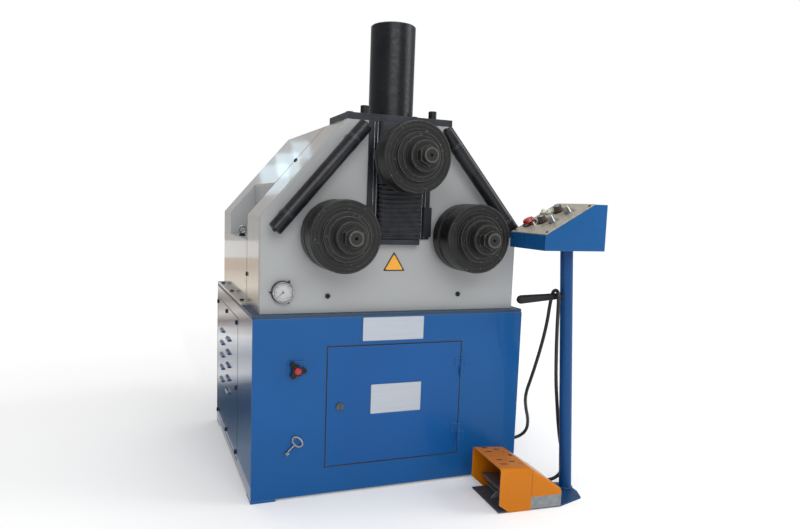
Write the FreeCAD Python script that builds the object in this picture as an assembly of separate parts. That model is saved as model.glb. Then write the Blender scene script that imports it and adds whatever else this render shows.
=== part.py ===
import FreeCAD, Part
import math
import os

# Hydraulic ring roller with a separate control stand and foot pedal.
# Millimetres, +Z up, front towards -Y. The origin is on the floor, at the centre of the
# cabinet's four anchor holes.

V = FreeCAD.Vector
X = V(1, 0, 0)
Y = V(0, 1, 0)
Z = V(0, 0, 1)

# ---------------------------------------------------------------- driving dimensions
# clearances
SLIP = 0.05            # radial clearance of a running fit
FREE = 0.4             # clearance between moving faces
SEAM = 1.5             # visible gap round an inset cover

# rolls and their shafts
ROLL_X = 225.0         # half the distance between the lower rolls
ROLL_Z = 859.5
RAM_STROKE = 140.0
TOP_ROLL_DROP = 117.4  # top roll under the housing's top, with the ram fully up
TOP_ROLL_OUT = 28.0    # the top roll stands this much further out
ROLL_R = 112.0
GROOVE_R = 88.0
BOSS_R = 75.0
SHAFT_R = 30.0
THREAD_R = 24.0
COLLAR_R = 48.0
NUT_FLATS = 56.0
BACK_DISC = 44.0       # lengths along the roll, from the machine outwards
GROOVE_W = 11.0
FRONT_DISC = 65.0
BOSS_W = 25.0
STEP_R = 62.0
STEP_W = 9.0
COLLAR_W = 32.0
NUT_W = 25.0
TIP_W = 16.0
ROLL_GAP = 35.0        # from the front plate to the rolls
EDGE = 3.0             # chamfer of the rolls

# gears
ROLL_TEETH = 44
DRIVE_TEETH = 46
GEAR_W = 50.0
BACKLASH = 0.4

# housing
SHOULDER_H = 305.0     # above the deck
TOP_X = 185.0          # half width of the housing's top
HOUSING_H = 620.0
FACE_SETBACK = 30.0    # from the cabinet's front to the front plate
PLATE_T = 30.0
FRONT_DEPTH = 255.0    # front plate's face to the seam with the rear casing
BEARING_WALL = 30.0
SHELL_T = 12.0
CASING_T = 6.0
POCKET_CLEAR = 17.0    # from the roll gears to the pocket
POCKET_DEPTH = 96.0
POCKET_LEN = 401.0
POCKET_SILL_H = 220.0  # above the deck
POCKET_WALL = 4.0
HATCH_X = 215.0
HATCH_H = 330.0
HATCH_LIFT = 79.0      # above the deck
HATCH_LAP = 15.0
HATCH_T = 3.0
SLING_PIN_R = 9.0
SLING_PIN_LEN = 12.0
BEARING_R = 50.0
BEARING_NECK_R = 55.0
BEARING_FLANGE_R = 75.0
BEARING_FLANGE_T = 10.0
STRIP_T = 6.0
STRIP_LEN = 658.0

# cabinet
LEDGE = 27.0           # deck beyond the housing on each side
CAB_DEPTH = 880.0
CAB_TOP = 606.0
FOOT_H = 8.0
FOOT_W = 80.0
ANCHOR_R = 9.0
WALL = 4.0
DECK_T = 12.0
FLOOR_T = 8.0
DOOR_X = 2.0           # centre of the door
DOOR_W = 478.0
DOOR_H = 397.0
DOOR_SILL = 100.0
DOOR_GAP = 2.0
DOOR_DEPTH = 14.0
DOOR_SHEET = 2.0
HINGE_R = 5.0
HINGE_PIN_R = 2.5
HINGE_OUT = 6.0        # hinge axis in front of the cabinet
HINGE_LEN = 62.0
HINGE_END = 57.0       # hinge ends from the door's ends
LEAF_W = 22.0
LEAF_T = 2.5

# press
TOP_PLATE_T = 22.0
TOP_PLATE_DEPTH = 200.0
TOP_BOLT_X = 120.0
TOP_BOLT_R = 13.5
TOP_BOLT_H = 26.0
TOP_BOLT_INSET = 21.0
PRESS_Y = -310.0
BARREL_R = 75.0
BARREL_H = 302.0
PISTON_R = 62.0
PISTON_W = 40.0
ROD_R = 35.0
GLAND_W = 30.0
CAP_W = 25.0
RAM_X = 77.0           # half width of the ram block
RAM_H = 196.0
RAM_BELOW = 82.6       # ram's underside below the top roll's axis
RAM_OUT = 30.0         # ram block in front of the front plate
RAM_DEPTH = 240.0
EAR_X = 92.0
EAR_T = 40.0
RAIL_X = 97.0
RAIL_FLANGE_X = 111.0
RAIL_OUT = 8.0
SLOT_SILL_H = 242.0    # above the deck
PAD_X = 117.0
PAD_H = 98.0
PAD_LIFT = 9.0
PAD_INSET = 8.0
LAND_W = 6.0           # ground strip beside the ram, then a groove
RAIL_GROOVE_W = 8.0
RAIL_GROOVE_T = 3.0
BELLOWS_X = 74.0
BELLOWS_DROP = 2.0     # bellows' foot under the slot's sill
BELLOWS_BASE_X = 70.0
BELLOWS_BASE_T = 16.0
BELLOWS_DEPTH = 24.0
PLEATS = 12
PLEAT_FOLD = 6.0
SOCKET = 30.0

# guide bars
BAR_R = 23.5
BAR_OUT = 52.0         # axis in front of the front plate
BAR_INSET = 49.0       # axis inside the sloping edge
BAR_LOW = 8.0          # lower end below the shoulder
BAR_LEN = 438.0
POST_R = 18.0
POST_END = 60.0
STUB_R = 6.0
STUB_LEN = 6.0

# gauge
GAUGE_X = -383.0
GAUGE_LIFT = 69.5
GAUGE_R = 34.5
GAUGE_DEPTH = 22.0
LUG_CIRCLE_R = 39.0

# drive inside
GEARBOX_R = 88.0
GEARBOX_LEN = 90.0
MOTOR_R = 72.0
MOTOR_LEN = 210.0
MOTOR_FINS = 4
FIN_OUT = 6.0
FIN_W = 8.0
MOTOR_FOOT_X = 120.0
MOTOR_FOOT_T = 15.0
TANK_X0 = -420.0
TANK_X1 = -60.0
TANK_Y0 = -120.0
TANK_Y1 = 250.0
TANK_H = 260.0
TANK_WALL = 3.0
TANK_LIP = 10.0
LID_T = 6.0
PUMP_X = -200.0
PUMP_Y = 80.0
PUMP_R = 62.0
PUMP_H = 190.0
PUMP_FINS = 3
VALVE_X = -340.0
VALVE_W = 80.0
VALVE_H = 74.0

# switch, lock and key on the cabinet's front
SWITCH_X = -341.0
SWITCH_Z = 431.0
SWITCH_R = 22.0
LOCK_INSET = 44.0      # from the door's free edge
LOCK_R = 13.0
LOCK_SHAFT_R = 8.0
CAM_LEN = 42.0
KEY_X = -333.0
KEY_Z = 194.0
KEY_LEAN = 46.0        # degrees of the shank from straight down
KEY_OUT = 7.0          # back of the bow to the cabinet's front, with the bow's own width
KEY_BOW_X = 22.5
KEY_BOW_Z = 15.0
KEY_WIRE = 5.5
KEY_T = 4.0
KEY_SHANK_R = 3.0
KEY_LEN = 42.0
KEY_PEG_R = 2.0

# inset side covers
COVER_Y0 = -145.0
COVER_Y1 = 430.0
COVER_Z0 = 35.0
COVER_Z1 = 549.0
LOUVRE_ROWS = 5
LOUVRE_PITCH = 51.0
LOUVRE_TOP = 426.0
LOUVRE_LEN = 80.0
LOUVRE_R = 9.0
LOUVRE_SHEET = 1.5
LOUVRE_Y = 177.0       # centre of the two columns
LOUVRE_STEP = 180.0

# control stand, which stands a little turned, with a post that leans
STAND_FOOT = (576.0, -626.0)
STAND_HEAD = (525.0, -618.0)
STAND_R = 21.0
STAND_WALL = 3.0
COLLAR_OUT = 4.0
BASE_T = 5.0
BASE_X0 = 252.0        # near left corner of the floor plate
BASE_Y0 = -727.0
BASE_W = 199.0
BASE_LEN = 342.0
STAND_TURN = 3.5       # degrees clockwise, seen from above
DESK_Z = 834.0
DESK_X0 = 371.0
DESK_X1 = 597.0
DESK_Y = -617.0        # centre of the desk
DESK_W = 206.0
DESK_LOW = 48.0
DESK_HIGH = 149.0
DESK_TOP = 46.0
DESK_SHEET = 3.0
PANEL_T = 3.0
HOOK_Z = 679.0
HOOK_LEN = 170.0
HOOK_TIP_R = 14.5
HOOK_ROOT_R = 10.0

# controls, by their place up the panel (U) and across it (V)
STOP_U = 59.0
STOP_V = 67.0
STOP_R = 20.0
STOP_TRAVEL = 5.0
DIAL_U = 78.0
DIAL_V = 17.0
DIAL_R = 17.0
DIAL_RIBS = 10
SELECTOR_U = 82.0
SELECTOR_V = -40.0
SELECTOR_R = 14.0
HIGH_DIAL_U = 150.0
HIGH_DIAL_V = 21.0
HIGH_SELECTOR_U = 147.0
HIGH_SELECTOR_V = -43.0
LAMP_U = 138.0
LAMP_V = 75.0
LAMP_STEP = 32.0
LAMP_R = 12.0
STEM_R = 6.0

# foot pedal, measured from the near left corner of the floor plate
PEDAL_LEN = 223.0
PEDAL_OUT = 3.5        # guard outside the plate's near edge
PEDAL_W = 211.0
GUARD_T = 3.0
GUARD_BEND_R = 12.0
GUARD_FRONT_Z = 147.0
GUARD_KNEE = 108.0
GUARD_KNEE_Z = 140.0
GUARD_REAR_Z = 62.0
GUARD_CLEAR_Z = 1.0
SLOT_LEN = 24.0
SLOT_W = 9.0
SLOT_GROUP = 112.0     # between the two groups of roof slots
RIM_START = 113.0
RIM_Z = 45.0
TRAY_START = 58.0
TRAY_T = 6.0
TREADLE_T = 6.0
TREADLE_W = 88.0
TREADLE_START = 26.0
TREADLE_PIVOT = 207.0
TREADLE_PIVOT_Z = 30.0
TREADLE_LIP = 24.0
TREADLE_RIBS = 6
TREADLE_RISE = 8.0     # degrees that the free end stands up
TREADLE_PIN_R = 3.0

# cable
CABLE_R = 6.0
GLAND_R = 12.0
CAB_GLAND_Y = -345.0
CAB_GLAND_Z = 88.0
PEDAL_GLAND_LEN = 34.0

# ---------------------------------------------------------------- derived places
PITCH_MODULE = 4 * ROLL_X / (ROLL_TEETH + DRIVE_TEETH) / 2
GEAR_TIP_R = PITCH_MODULE * (ROLL_TEETH / 2 + 1)
POCKET_X = ROLL_X + GEAR_TIP_R + POCKET_CLEAR
HOUSING_X = POCKET_X + POCKET_DEPTH
CAB_X = HOUSING_X + LEDGE
CAB_Y = CAB_DEPTH / 2
SHOULDER_Z = CAB_TOP + SHOULDER_H
HOUSING_Z = CAB_TOP + HOUSING_H
SLOPE = math.atan2(HOUSING_Z - SHOULDER_Z, HOUSING_X - TOP_X)
FACE_Y = -CAB_Y + FACE_SETBACK
PLATE_BACK_Y = FACE_Y + PLATE_T
SEAM_Y = FACE_Y + FRONT_DEPTH
WALL_FRONT_Y = SEAM_Y - BEARING_WALL
CASING_Y = CAB_Y - 4
ROLL_BACK_Y = FACE_Y - ROLL_GAP
GROOVE_Y1 = ROLL_BACK_Y - BACK_DISC
GROOVE_Y0 = GROOVE_Y1 - GROOVE_W
ROLL_FRONT_Y = GROOVE_Y0 - FRONT_DISC
BOSS_Y = ROLL_FRONT_Y - BOSS_W
COLLAR_Y = BOSS_Y - COLLAR_W
NUT_Y = COLLAR_Y - NUT_W
TIP_Y = NUT_Y - TIP_W
GEAR_Y0 = SEAM_Y + 5
GEAR_Y1 = GEAR_Y0 + GEAR_W
TOP_PLATE_Y = FACE_Y + TOP_PLATE_DEPTH
TOP_PLATE_Z = HOUSING_Z + TOP_PLATE_T
BARREL_Z = TOP_PLATE_Z + BARREL_H
RAM_Y0 = FACE_Y - RAM_OUT
RAM_Y1 = RAM_Y0 + RAM_DEPTH
TOP_ROLL_Z = HOUSING_Z - TOP_ROLL_DROP
RAM_Z0 = TOP_ROLL_Z - RAM_BELOW
RAM_Z1 = RAM_Z0 + RAM_H
PISTON_Z1 = BARREL_Z - CAP_W - 5
PISTON_Z0 = PISTON_Z1 - PISTON_W
SLOT_Z = CAB_TOP + SLOT_SILL_H
BELLOWS_Z = SLOT_Z - BELLOWS_DROP
DOOR_X0 = DOOR_X - DOOR_W / 2
DOOR_X1 = DOOR_X + DOOR_W / 2
DOOR_Z1 = DOOR_SILL + DOOR_H
HINGE_X = DOOR_X1 + HINGE_PIN_R + 0.5
HINGE_Y = -CAB_Y - HINGE_OUT
LOCK_X = DOOR_X0 + LOCK_INSET
LOCK_Z = DOOR_SILL + DOOR_H / 2
LIP_Y = -CAB_Y + DOOR_DEPTH + 2
LIP_T = 3.0
JAMB_T = 3.0
LIP_W = 12.0
FLOOR_Z = FOOT_H + FLOOR_T
SIDE_TOP = CAB_TOP - DECK_T
GAUGE_Z = CAB_TOP + GAUGE_LIFT
PEDAL_X0 = BASE_X0
PEDAL_X1 = PEDAL_X0 + PEDAL_LEN
PEDAL_Y0 = BASE_Y0 - PEDAL_OUT
PEDAL_Y1 = PEDAL_Y0 + PEDAL_W
PEDAL_Z = BASE_T
PIVOT_X = PEDAL_X0 + TREADLE_PIVOT
DESK_SLOPE = math.atan2(DESK_HIGH - DESK_LOW, DESK_X1 - DESK_TOP - DESK_X0)


# ---------------------------------------------------------------- helpers
def box(x0, x1, y0, y1, z0, z1):
    return Part.makeBox(x1 - x0, y1 - y0, z1 - z0, V(x0, y0, z0))


def rod(radius, start, axis, length):
    return Part.makeCylinder(radius, length, start, axis)


def ring(outer, inner, start, axis, length):
    return rod(outer, start, axis, length).cut(rod(inner, start, axis, length))


def fuse(shapes):
    whole = shapes[0]
    if len(shapes) > 1:
        whole = whole.multiFuse(shapes[1:])
    return whole.removeSplitter()


def cut(shape, tools):
    return shape.cut(Part.makeCompound(tools))


def face_of(points):
    return Part.Face(Part.makePolygon(points + [points[0]]))


def prism_y(points, y0, y1):
    """Extrude an outline of (x, z) points along Y."""
    return face_of([V(x, y0, z) for x, z in points]).extrude(V(0, y1 - y0, 0))


def prism_x(points, x0, x1):
    """Extrude an outline of (y, z) points along X."""
    return face_of([V(x0, y, z) for y, z in points]).extrude(V(x1 - x0, 0, 0))


def prism_z(points, z0, z1):
    """Extrude an outline of (x, y) points along Z."""
    return face_of([V(x, y, z0) for x, y in points]).extrude(V(0, 0, z1 - z0))


def lathe(profile, centre, axis):
    """Revolve (radius, distance) points about an axis through the centre."""
    side = Y if abs(axis.y) < 0.5 else X
    side = (side - axis * side.dot(axis)).normalize()
    points = [centre + side * r + axis * t for r, t in profile]
    return face_of(points).revolve(centre, axis, 360)


def hexagon(flats, start, axis, height):
    corner = flats / math.sqrt(3)
    side = Y if abs(axis.y) < 0.5 else Z
    side = (side - axis * side.dot(axis)).normalize()
    turn = [FreeCAD.Rotation(axis, 60 * i) for i in range(6)]
    points = [start + t.multVec(side * corner) for t in turn]
    return face_of(points).extrude(axis * height)


def crowned_hexagon(flats, start, axis, height):
    """Hexagon with the corners of its outer face turned away."""
    corner = flats / math.sqrt(3)
    crown = [(0, 0), (corner, 0), (corner, height * 0.9), (corner * 0.88, height), (0, height)]
    return hexagon(flats, start, axis, height).common(lathe(crown, start, axis))


def mirror(shape):
    return shape.mirror(V(0, 0, 0), X)


def both(shape):
    return [shape, mirror(shape)]


def turned(shape, centre, axis, degrees):
    copy = shape.copy()
    copy.rotate(centre, axis, degrees)
    return copy


def along(start, direction, distance):
    return start + direction * distance


def save(node, shape):
    if isinstance(shape, list):
        shape = Part.makeCompound(shape)
    shape.exportStep("parts/" + node + ".step")


# ---------------------------------------------------------------- cabinet
def outline(inset, bottom):
    """Half-hexagon of the housing, moved inwards by the inset, from the given bottom."""
    edge = math.sin(SLOPE) * HOUSING_X + math.cos(SLOPE) * SHOULDER_Z - inset
    side = HOUSING_X - inset
    top = HOUSING_Z - inset
    shoulder = (edge - math.sin(SLOPE) * side) / math.cos(SLOPE)
    ridge = (edge - math.cos(SLOPE) * top) / math.sin(SLOPE)
    right = [(side, bottom), (side, shoulder), (ridge, top)]
    return right + [(-x, z) for x, z in reversed(right)]


def anchor_feet():
    foot = box(CAB_X - FOOT_W, CAB_X, CAB_Y - FOOT_W, CAB_Y, 0, FOOT_H)
    foot = foot.cut(anchor_hole(0, FOOT_H))
    front = foot.mirror(V(0, 0, 0), Y)
    return both(foot) + both(front)


def anchor_hole(z0, z1):
    return rod(ANCHOR_R, V(CAB_X - FOOT_W / 2, CAB_Y - FOOT_W / 2, z0), Z, z1 - z0)


def cabinet_floor():
    floor = box(-CAB_X + WALL, CAB_X - WALL, -CAB_Y + WALL, CAB_Y - WALL, FOOT_H, FLOOR_Z)
    hole = anchor_hole(FOOT_H, FLOOR_Z)
    return cut(floor, both(hole) + both(hole.mirror(V(0, 0, 0), Y)))


def cover_opening(grow, x0, x1):
    return box(x0, x1, COVER_Y0 - grow, COVER_Y1 + grow, COVER_Z0 - grow, COVER_Z1 + grow)


def cabinet_shell():
    """Two sides and the rear wall; each side has a rebated opening for its louvred cover."""
    side = box(CAB_X - WALL, CAB_X, -CAB_Y + WALL, CAB_Y, FOOT_H, SIDE_TOP)
    side = side.cut(cover_opening(SEAM, CAB_X - WALL, CAB_X))
    back = cover_opening(7.5, CAB_X - 2 * WALL, CAB_X - WALL)
    back = back.cut(cover_opening(-12, CAB_X - 2 * WALL, CAB_X - WALL))
    side = side.fuse(back)
    gland = rod(GLAND_R * 0.7, V(CAB_X - WALL, CAB_GLAND_Y, CAB_GLAND_Z), X, WALL)
    rear = box(-CAB_X + WALL, CAB_X - WALL, CAB_Y - WALL, CAB_Y, FOOT_H, SIDE_TOP)
    return fuse([side.cut(gland), mirror(side), rear])


def louvre_body(y, z, inset):
    """Four-sided quarter round with slanted ends, over the opening of one louvre."""
    radius = LOUVRE_R - inset
    half = LOUVRE_LEN / 2 - inset
    arc = [(CAB_X + radius * math.cos(math.radians(a)), z + radius * math.sin(math.radians(a)))
           for a in (0, 30, 60, 90)]
    round_part = prism_y([(CAB_X - WALL, z)] + arc + [(CAB_X - WALL, z + radius)], y - half, y + half)
    plan = [(CAB_X - WALL, y - half), (CAB_X, y - half), (CAB_X + radius, y - half + radius),
            (CAB_X + radius, y + half - radius), (CAB_X, y + half), (CAB_X - WALL, y + half)]
    return round_part.common(prism_z(plan, z, z + radius))


def vent_covers():
    """Inset covers with pressed louvres, each a hood that is open below."""
    cover = cover_opening(0, CAB_X - WALL, CAB_X)
    hoods = []
    slots = []
    for column in (-0.5, 0.5):
        for row in range(LOUVRE_ROWS):
            place = (LOUVRE_Y + column * LOUVRE_STEP, LOUVRE_TOP - row * LOUVRE_PITCH)
            hoods.append(louvre_body(*place, 0))
            slots.append(louvre_body(*place, LOUVRE_SHEET))
    return both(cut(cover.multiFuse(hoods), slots))


def cabinet_front():
    """Front sheet with the rebated door frame, the fixed hinge knuckles and the key's peg."""
    x0 = DOOR_X0 - DOOR_GAP
    x1 = DOOR_X1 + DOOR_GAP
    z0 = DOOR_SILL - DOOR_GAP
    z1 = DOOR_Z1 + DOOR_GAP
    back = LIP_Y + LIP_T
    sheet = box(-CAB_X, CAB_X, -CAB_Y, -CAB_Y + WALL, FOOT_H, SIDE_TOP)
    jamb = box(x0 - JAMB_T, x1 + JAMB_T, -CAB_Y, back, z0 - JAMB_T, z1 + JAMB_T)
    opening = box(x0, x1, -CAB_Y, LIP_Y, z0, z1)
    through = box(x0 + LIP_W, x1 - LIP_W, LIP_Y, back, z0 + LIP_W, z1 - LIP_W)
    front = cut(sheet.fuse(jamb), [opening, through])
    knuckles = []
    half = HINGE_LEN / 2 - FREE / 2
    for low in hinge_lows():
        knuckles.append(rod(HINGE_R, V(HINGE_X, HINGE_Y, low), Z, half))
        knuckles.append(rod(HINGE_PIN_R - SLIP, V(HINGE_X, HINGE_Y, low), Z, HINGE_LEN))
        knuckles += mirrored_leaf(low, half)
    shaft = rod(5 + SLIP, V(SWITCH_X, -CAB_Y, SWITCH_Z), Y, WALL)
    return fuse([front.cut(shaft)] + knuckles + [key_peg()])


def hinge_leaf(low, height):
    """Leaf on the door's side of the hinge: a strap off the barrel and its seat on the sheet."""
    back = HINGE_Y + HINGE_R
    strap = box(HINGE_X - LEAF_W, HINGE_X, back - LEAF_T, back, low, low + height)
    seat = box(HINGE_X - LEAF_W, DOOR_X1 - 2, back, -CAB_Y, low, low + height)
    return [strap, seat]


def mirrored_leaf(low, height):
    return [s.mirror(V(HINGE_X, 0, 0), X) for s in hinge_leaf(low, height)]


def hinge_lows():
    return [DOOR_SILL + HINGE_END - 12, DOOR_Z1 - HINGE_END - HINGE_LEN]


def cabinet_deck():
    deck = box(-CAB_X, CAB_X, -CAB_Y, CAB_Y, SIDE_TOP, CAB_TOP)
    corners = [e for e in deck.Edges if e.BoundBox.ZLength > DECK_T - 1]
    return deck.makeFillet(6, corners)


def door_panel():
    """Pan-folded sheet, hollow at the back, with its half of the hinges."""
    front = -CAB_Y
    pan = box(DOOR_X0, DOOR_X1, front, front + DOOR_DEPTH, DOOR_SILL, DOOR_Z1)
    hollow = box(DOOR_X0 + DOOR_SHEET, DOOR_X1 - DOOR_SHEET, front + DOOR_SHEET, front + DOOR_DEPTH,
                 DOOR_SILL + DOOR_SHEET, DOOR_Z1 - DOOR_SHEET)
    hole = rod(LOCK_SHAFT_R + SLIP, V(LOCK_X, front, LOCK_Z), Y, DOOR_SHEET)
    parts = [cut(pan, [hollow, hole])]
    half = HINGE_LEN / 2 - FREE / 2
    for low in hinge_lows():
        base = low + HINGE_LEN - half
        strap = hinge_leaf(base, half)
        barrel = ring(HINGE_R, HINGE_PIN_R, V(HINGE_X, HINGE_Y, base), Z, half)
        parts.append(barrel.multiFuse(strap).cut(rod(HINGE_PIN_R, V(HINGE_X, HINGE_Y, base), Z, half)))
    return fuse(parts)


def door_lock():
    """Quarter-turn plug with a slotted head and the cam that reaches behind the frame's lip."""
    front = -CAB_Y - FREE
    head = rod(LOCK_R, V(LOCK_X, front - 4, LOCK_Z), Y, 4)
    slot = box(LOCK_X - 1.5, LOCK_X + 1.5, front - 4, front - 2, LOCK_Z - 8, LOCK_Z + 8)
    cam_y = LIP_Y + LIP_T + 1
    shaft = rod(LOCK_SHAFT_R, V(LOCK_X, front, LOCK_Z), Y, cam_y + 3 - front)
    cam = box(LOCK_X - 7, LOCK_X + 7, cam_y, cam_y + 3, LOCK_Z - 7, LOCK_Z + CAM_LEN)
    return fuse([head.cut(slot), shaft, cam])


def switch_base():
    """Square base plate of the main switch."""
    y0 = -CAB_Y - 4
    plate = box(SWITCH_X - 28, SWITCH_X + 28, y0, -CAB_Y, SWITCH_Z - 27, SWITCH_Z + 27)
    corners = [e for e in plate.Edges if e.BoundBox.YLength > 3]
    plate = plate.makeFillet(5, corners)
    return plate.cut(rod(5 + SLIP, V(SWITCH_X, y0, SWITCH_Z), Y, 4))


def switch_knob():
    """Three-lobed knob on its spindle."""
    y0 = -CAB_Y - 4 - FREE
    centre = V(SWITCH_X, y0, SWITCH_Z)
    lobes = [rod(SWITCH_R * 0.75, centre - Y * 22, Y, 22)]
    for angle in (-5, 125, 235):
        tip = centre + turn_xz(angle) * SWITCH_R
        lobes.append(rod(9, tip - Y * 16, Y, 16))
        lobes.append(turned(box(SWITCH_X, SWITCH_X + SWITCH_R, y0 - 16, y0, SWITCH_Z - 9, SWITCH_Z + 9),
                            centre, Y, -angle))
    cap = rod(11, centre - Y * 26, Y, 26)
    spindle = rod(5, centre, Y, 4 + FREE + WALL)
    return fuse(lobes + [cap, spindle])


def turn_xz(degrees):
    return V(math.cos(math.radians(degrees)), 0, math.sin(math.radians(degrees)))


def oval(half_x, half_z, y):
    return Part.Face(Part.Wire([Part.Ellipse(V(half_x, y, 0), V(0, y, half_z), V(0, y, 0)).toShape()]))


def key_place(shape):
    """Turn a shape drawn about the bow's centre to the key's lean, and put it in place."""
    shape.rotate(V(0, 0, 0), Y, KEY_LEAN)
    shape.translate(V(KEY_X, 0, KEY_Z))
    return shape


def key():
    """Cabinet key hung on its peg: an oval bow, a shank and a bit."""
    y0 = -CAB_Y - KEY_OUT
    bow = oval(KEY_BOW_X, KEY_BOW_Z, y0).cut(oval(KEY_BOW_X - KEY_WIRE, KEY_BOW_Z - KEY_WIRE, y0))
    bow = bow.extrude(V(0, KEY_T, 0))
    neck = -KEY_BOW_Z + KEY_WIRE / 2
    shank = rod(KEY_SHANK_R, V(0, y0 + KEY_T / 2, neck), -Z, KEY_LEN)
    bit = box(0, 9, y0, y0 + KEY_T, neck - KEY_LEN, neck - KEY_LEN + 11)
    return key_place(fuse([bow, shank, bit]))


def key_peg():
    """Headed peg through the end of the bow's hole."""
    x = -(KEY_BOW_X - KEY_WIRE - KEY_PEG_R - 2 * FREE)
    reach = KEY_OUT + FREE
    stem = rod(KEY_PEG_R, V(x, -CAB_Y - reach, 0), Y, reach)
    head = rod(KEY_PEG_R + 1.5, V(x, -CAB_Y - reach - 1.5, 0), Y, 1.5)
    return key_place(stem.fuse(head))


# ---------------------------------------------------------------- housing
def lower_rolls():
    return [V(s * ROLL_X, 0, ROLL_Z) for s in (-1, 1)]


def at_y(point, y):
    return V(point.x, y, point.z)


def ram_slot():
    return box(-RAIL_X, RAIL_X, FACE_Y, PLATE_BACK_Y, SLOT_Z, HOUSING_Z)


def front_plate():
    plate = prism_y(outline(0, CAB_TOP), FACE_Y, PLATE_BACK_Y)
    holes = [rod(BEARING_NECK_R, at_y(c, FACE_Y), Y, PLATE_T) for c in lower_rolls()]
    holes.append(rod(GAUGE_R - 6, V(GAUGE_X, FACE_Y, GAUGE_Z), Y, PLATE_T))
    holes.append(ram_slot())
    return cut(plate, holes)


def housing_shell():
    """Sides, slopes and top in thick plate, with the rear bearing wall behind them."""
    outer = prism_y(outline(0, CAB_TOP), PLATE_BACK_Y, SEAM_Y)
    inner = prism_y(outline(SHELL_T, CAB_TOP), PLATE_BACK_Y, WALL_FRONT_Y)
    holes = [rod(BEARING_R, at_y(c, WALL_FRONT_Y), Y, BEARING_WALL) for c in lower_rolls()]
    holes.append(rod(drive_shaft_r() + SLIP, V(0, WALL_FRONT_Y, ROLL_Z), Y, BEARING_WALL))
    holes.append(box(-EAR_X - 2, EAR_X + 2, PLATE_BACK_Y, RAM_Y1 + 2, HOUSING_Z - SHELL_T, HOUSING_Z))
    return cut(outer, [inner] + holes)


def drive_shaft_r():
    return SHAFT_R * 0.75


def roll_bearings():
    """Flanged bearing housings in the front plate and plain rings in the bearing wall."""
    parts = []
    for c in lower_rolls():
        front = FACE_Y - BEARING_FLANGE_T
        flange = rod(BEARING_FLANGE_R, at_y(c, front), Y, BEARING_FLANGE_T)
        neck = rod(BEARING_NECK_R, at_y(c, FACE_Y), Y, PLATE_T)
        bore = rod(SHAFT_R + SLIP, at_y(c, front), Y, PLATE_T + BEARING_FLANGE_T)
        parts.append(flange.fuse(neck).cut(bore))
        parts.append(ring(BEARING_R, SHAFT_R + SLIP, at_y(c, WALL_FRONT_Y), Y, BEARING_WALL))
    return parts


def casing_part(y0, y1, back):
    """Length of the rear casing's sheet; the back is closed by a wall of the given thickness."""
    outer = prism_y(outline(0, CAB_TOP), y0, y1)
    return outer.cut(prism_y(outline(CASING_T, CAB_TOP), y0, y1 - back))


def rear_casing():
    """Sheet casing behind the bearing wall: a hood between the shoulder pockets, a plain side
    under each pocket, and a closed rear part with the bolted hatch."""
    step_y = SEAM_Y + POCKET_LEN + 2 * POCKET_WALL
    sill = CAB_TOP + POCKET_SILL_H - POCKET_WALL
    middle = casing_part(SEAM_Y, step_y, 0)
    far_x = HOUSING_X + 1
    hood = middle.common(box(-POCKET_X, POCKET_X, SEAM_Y, step_y, sill, HOUSING_Z + 1))
    side = middle.common(box(0, far_x, SEAM_Y, step_y, CAB_TOP, sill))
    hatch_z = CAB_TOP + HATCH_LIFT
    hole = box(-HATCH_X + HATCH_LAP, HATCH_X - HATCH_LAP, CASING_Y - CASING_T, CASING_Y,
               hatch_z + HATCH_LAP, hatch_z + HATCH_H - HATCH_LAP)
    rear = casing_part(step_y, CASING_Y, CASING_T).cut(hole)
    strip = box(HOUSING_X, CAB_X, CAB_Y - STRIP_LEN, CAB_Y, CAB_TOP, CAB_TOP + STRIP_T)
    return [hood, rear] + both(side) + both(strip)


def shoulder_pockets():
    """Open trays let into the shoulders, each with a pin for a lifting sling at its rear end."""
    sill = CAB_TOP + POCKET_SILL_H
    y0 = SEAM_Y + POCKET_WALL
    y1 = y0 + POCKET_LEN
    far_y = y1 + POCKET_WALL
    block = box(POCKET_X - POCKET_WALL, HOUSING_X, SEAM_Y, far_y, sill - POCKET_WALL, HOUSING_Z)
    tray = block.cut(box(POCKET_X, HOUSING_X, y0, y1, sill, HOUSING_Z))
    tray = tray.common(prism_y(outline(CASING_T, CAB_TOP), SEAM_Y, far_y).fuse(
        prism_y(outline(0, CAB_TOP), SEAM_Y, far_y).common(
            box(POCKET_X, HOUSING_X, SEAM_Y, far_y, sill - POCKET_WALL, HOUSING_Z))))
    pin = rod(SLING_PIN_R, V(HOUSING_X - 43, y1 - SLING_PIN_LEN, sill + 2 * SLING_PIN_R), Y, SLING_PIN_LEN)
    return both(fuse([tray, pin]))


def rear_hatch():
    z0 = CAB_TOP + HATCH_LIFT
    return box(-HATCH_X, HATCH_X, CASING_Y, CASING_Y + HATCH_T, z0, z0 + HATCH_H)


def top_plate():
    plate = box(-TOP_X, TOP_X, FACE_Y, TOP_PLATE_Y, HOUSING_Z, TOP_PLATE_Z)
    return plate.cut(rod(ROD_R + 3, V(0, PRESS_Y, HOUSING_Z), Z, TOP_PLATE_T))


def top_plate_bolts():
    """Socket-head bolts at the plate's corners."""
    bolts = []
    edge = 1.5
    head = [(0, 0), (TOP_BOLT_R, 0), (TOP_BOLT_R, TOP_BOLT_H - edge), (TOP_BOLT_R - edge, TOP_BOLT_H),
            (0, TOP_BOLT_H)]
    for y in (FACE_Y + TOP_BOLT_INSET, TOP_PLATE_Y - TOP_BOLT_INSET):
        place = V(TOP_BOLT_X, y, TOP_PLATE_Z)
        socket = hexagon(TOP_BOLT_R, place + Z * (TOP_BOLT_H / 2), Z, TOP_BOLT_H / 2)
        bolts += both(lathe(head, place, Z).cut(socket))
    return bolts


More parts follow.
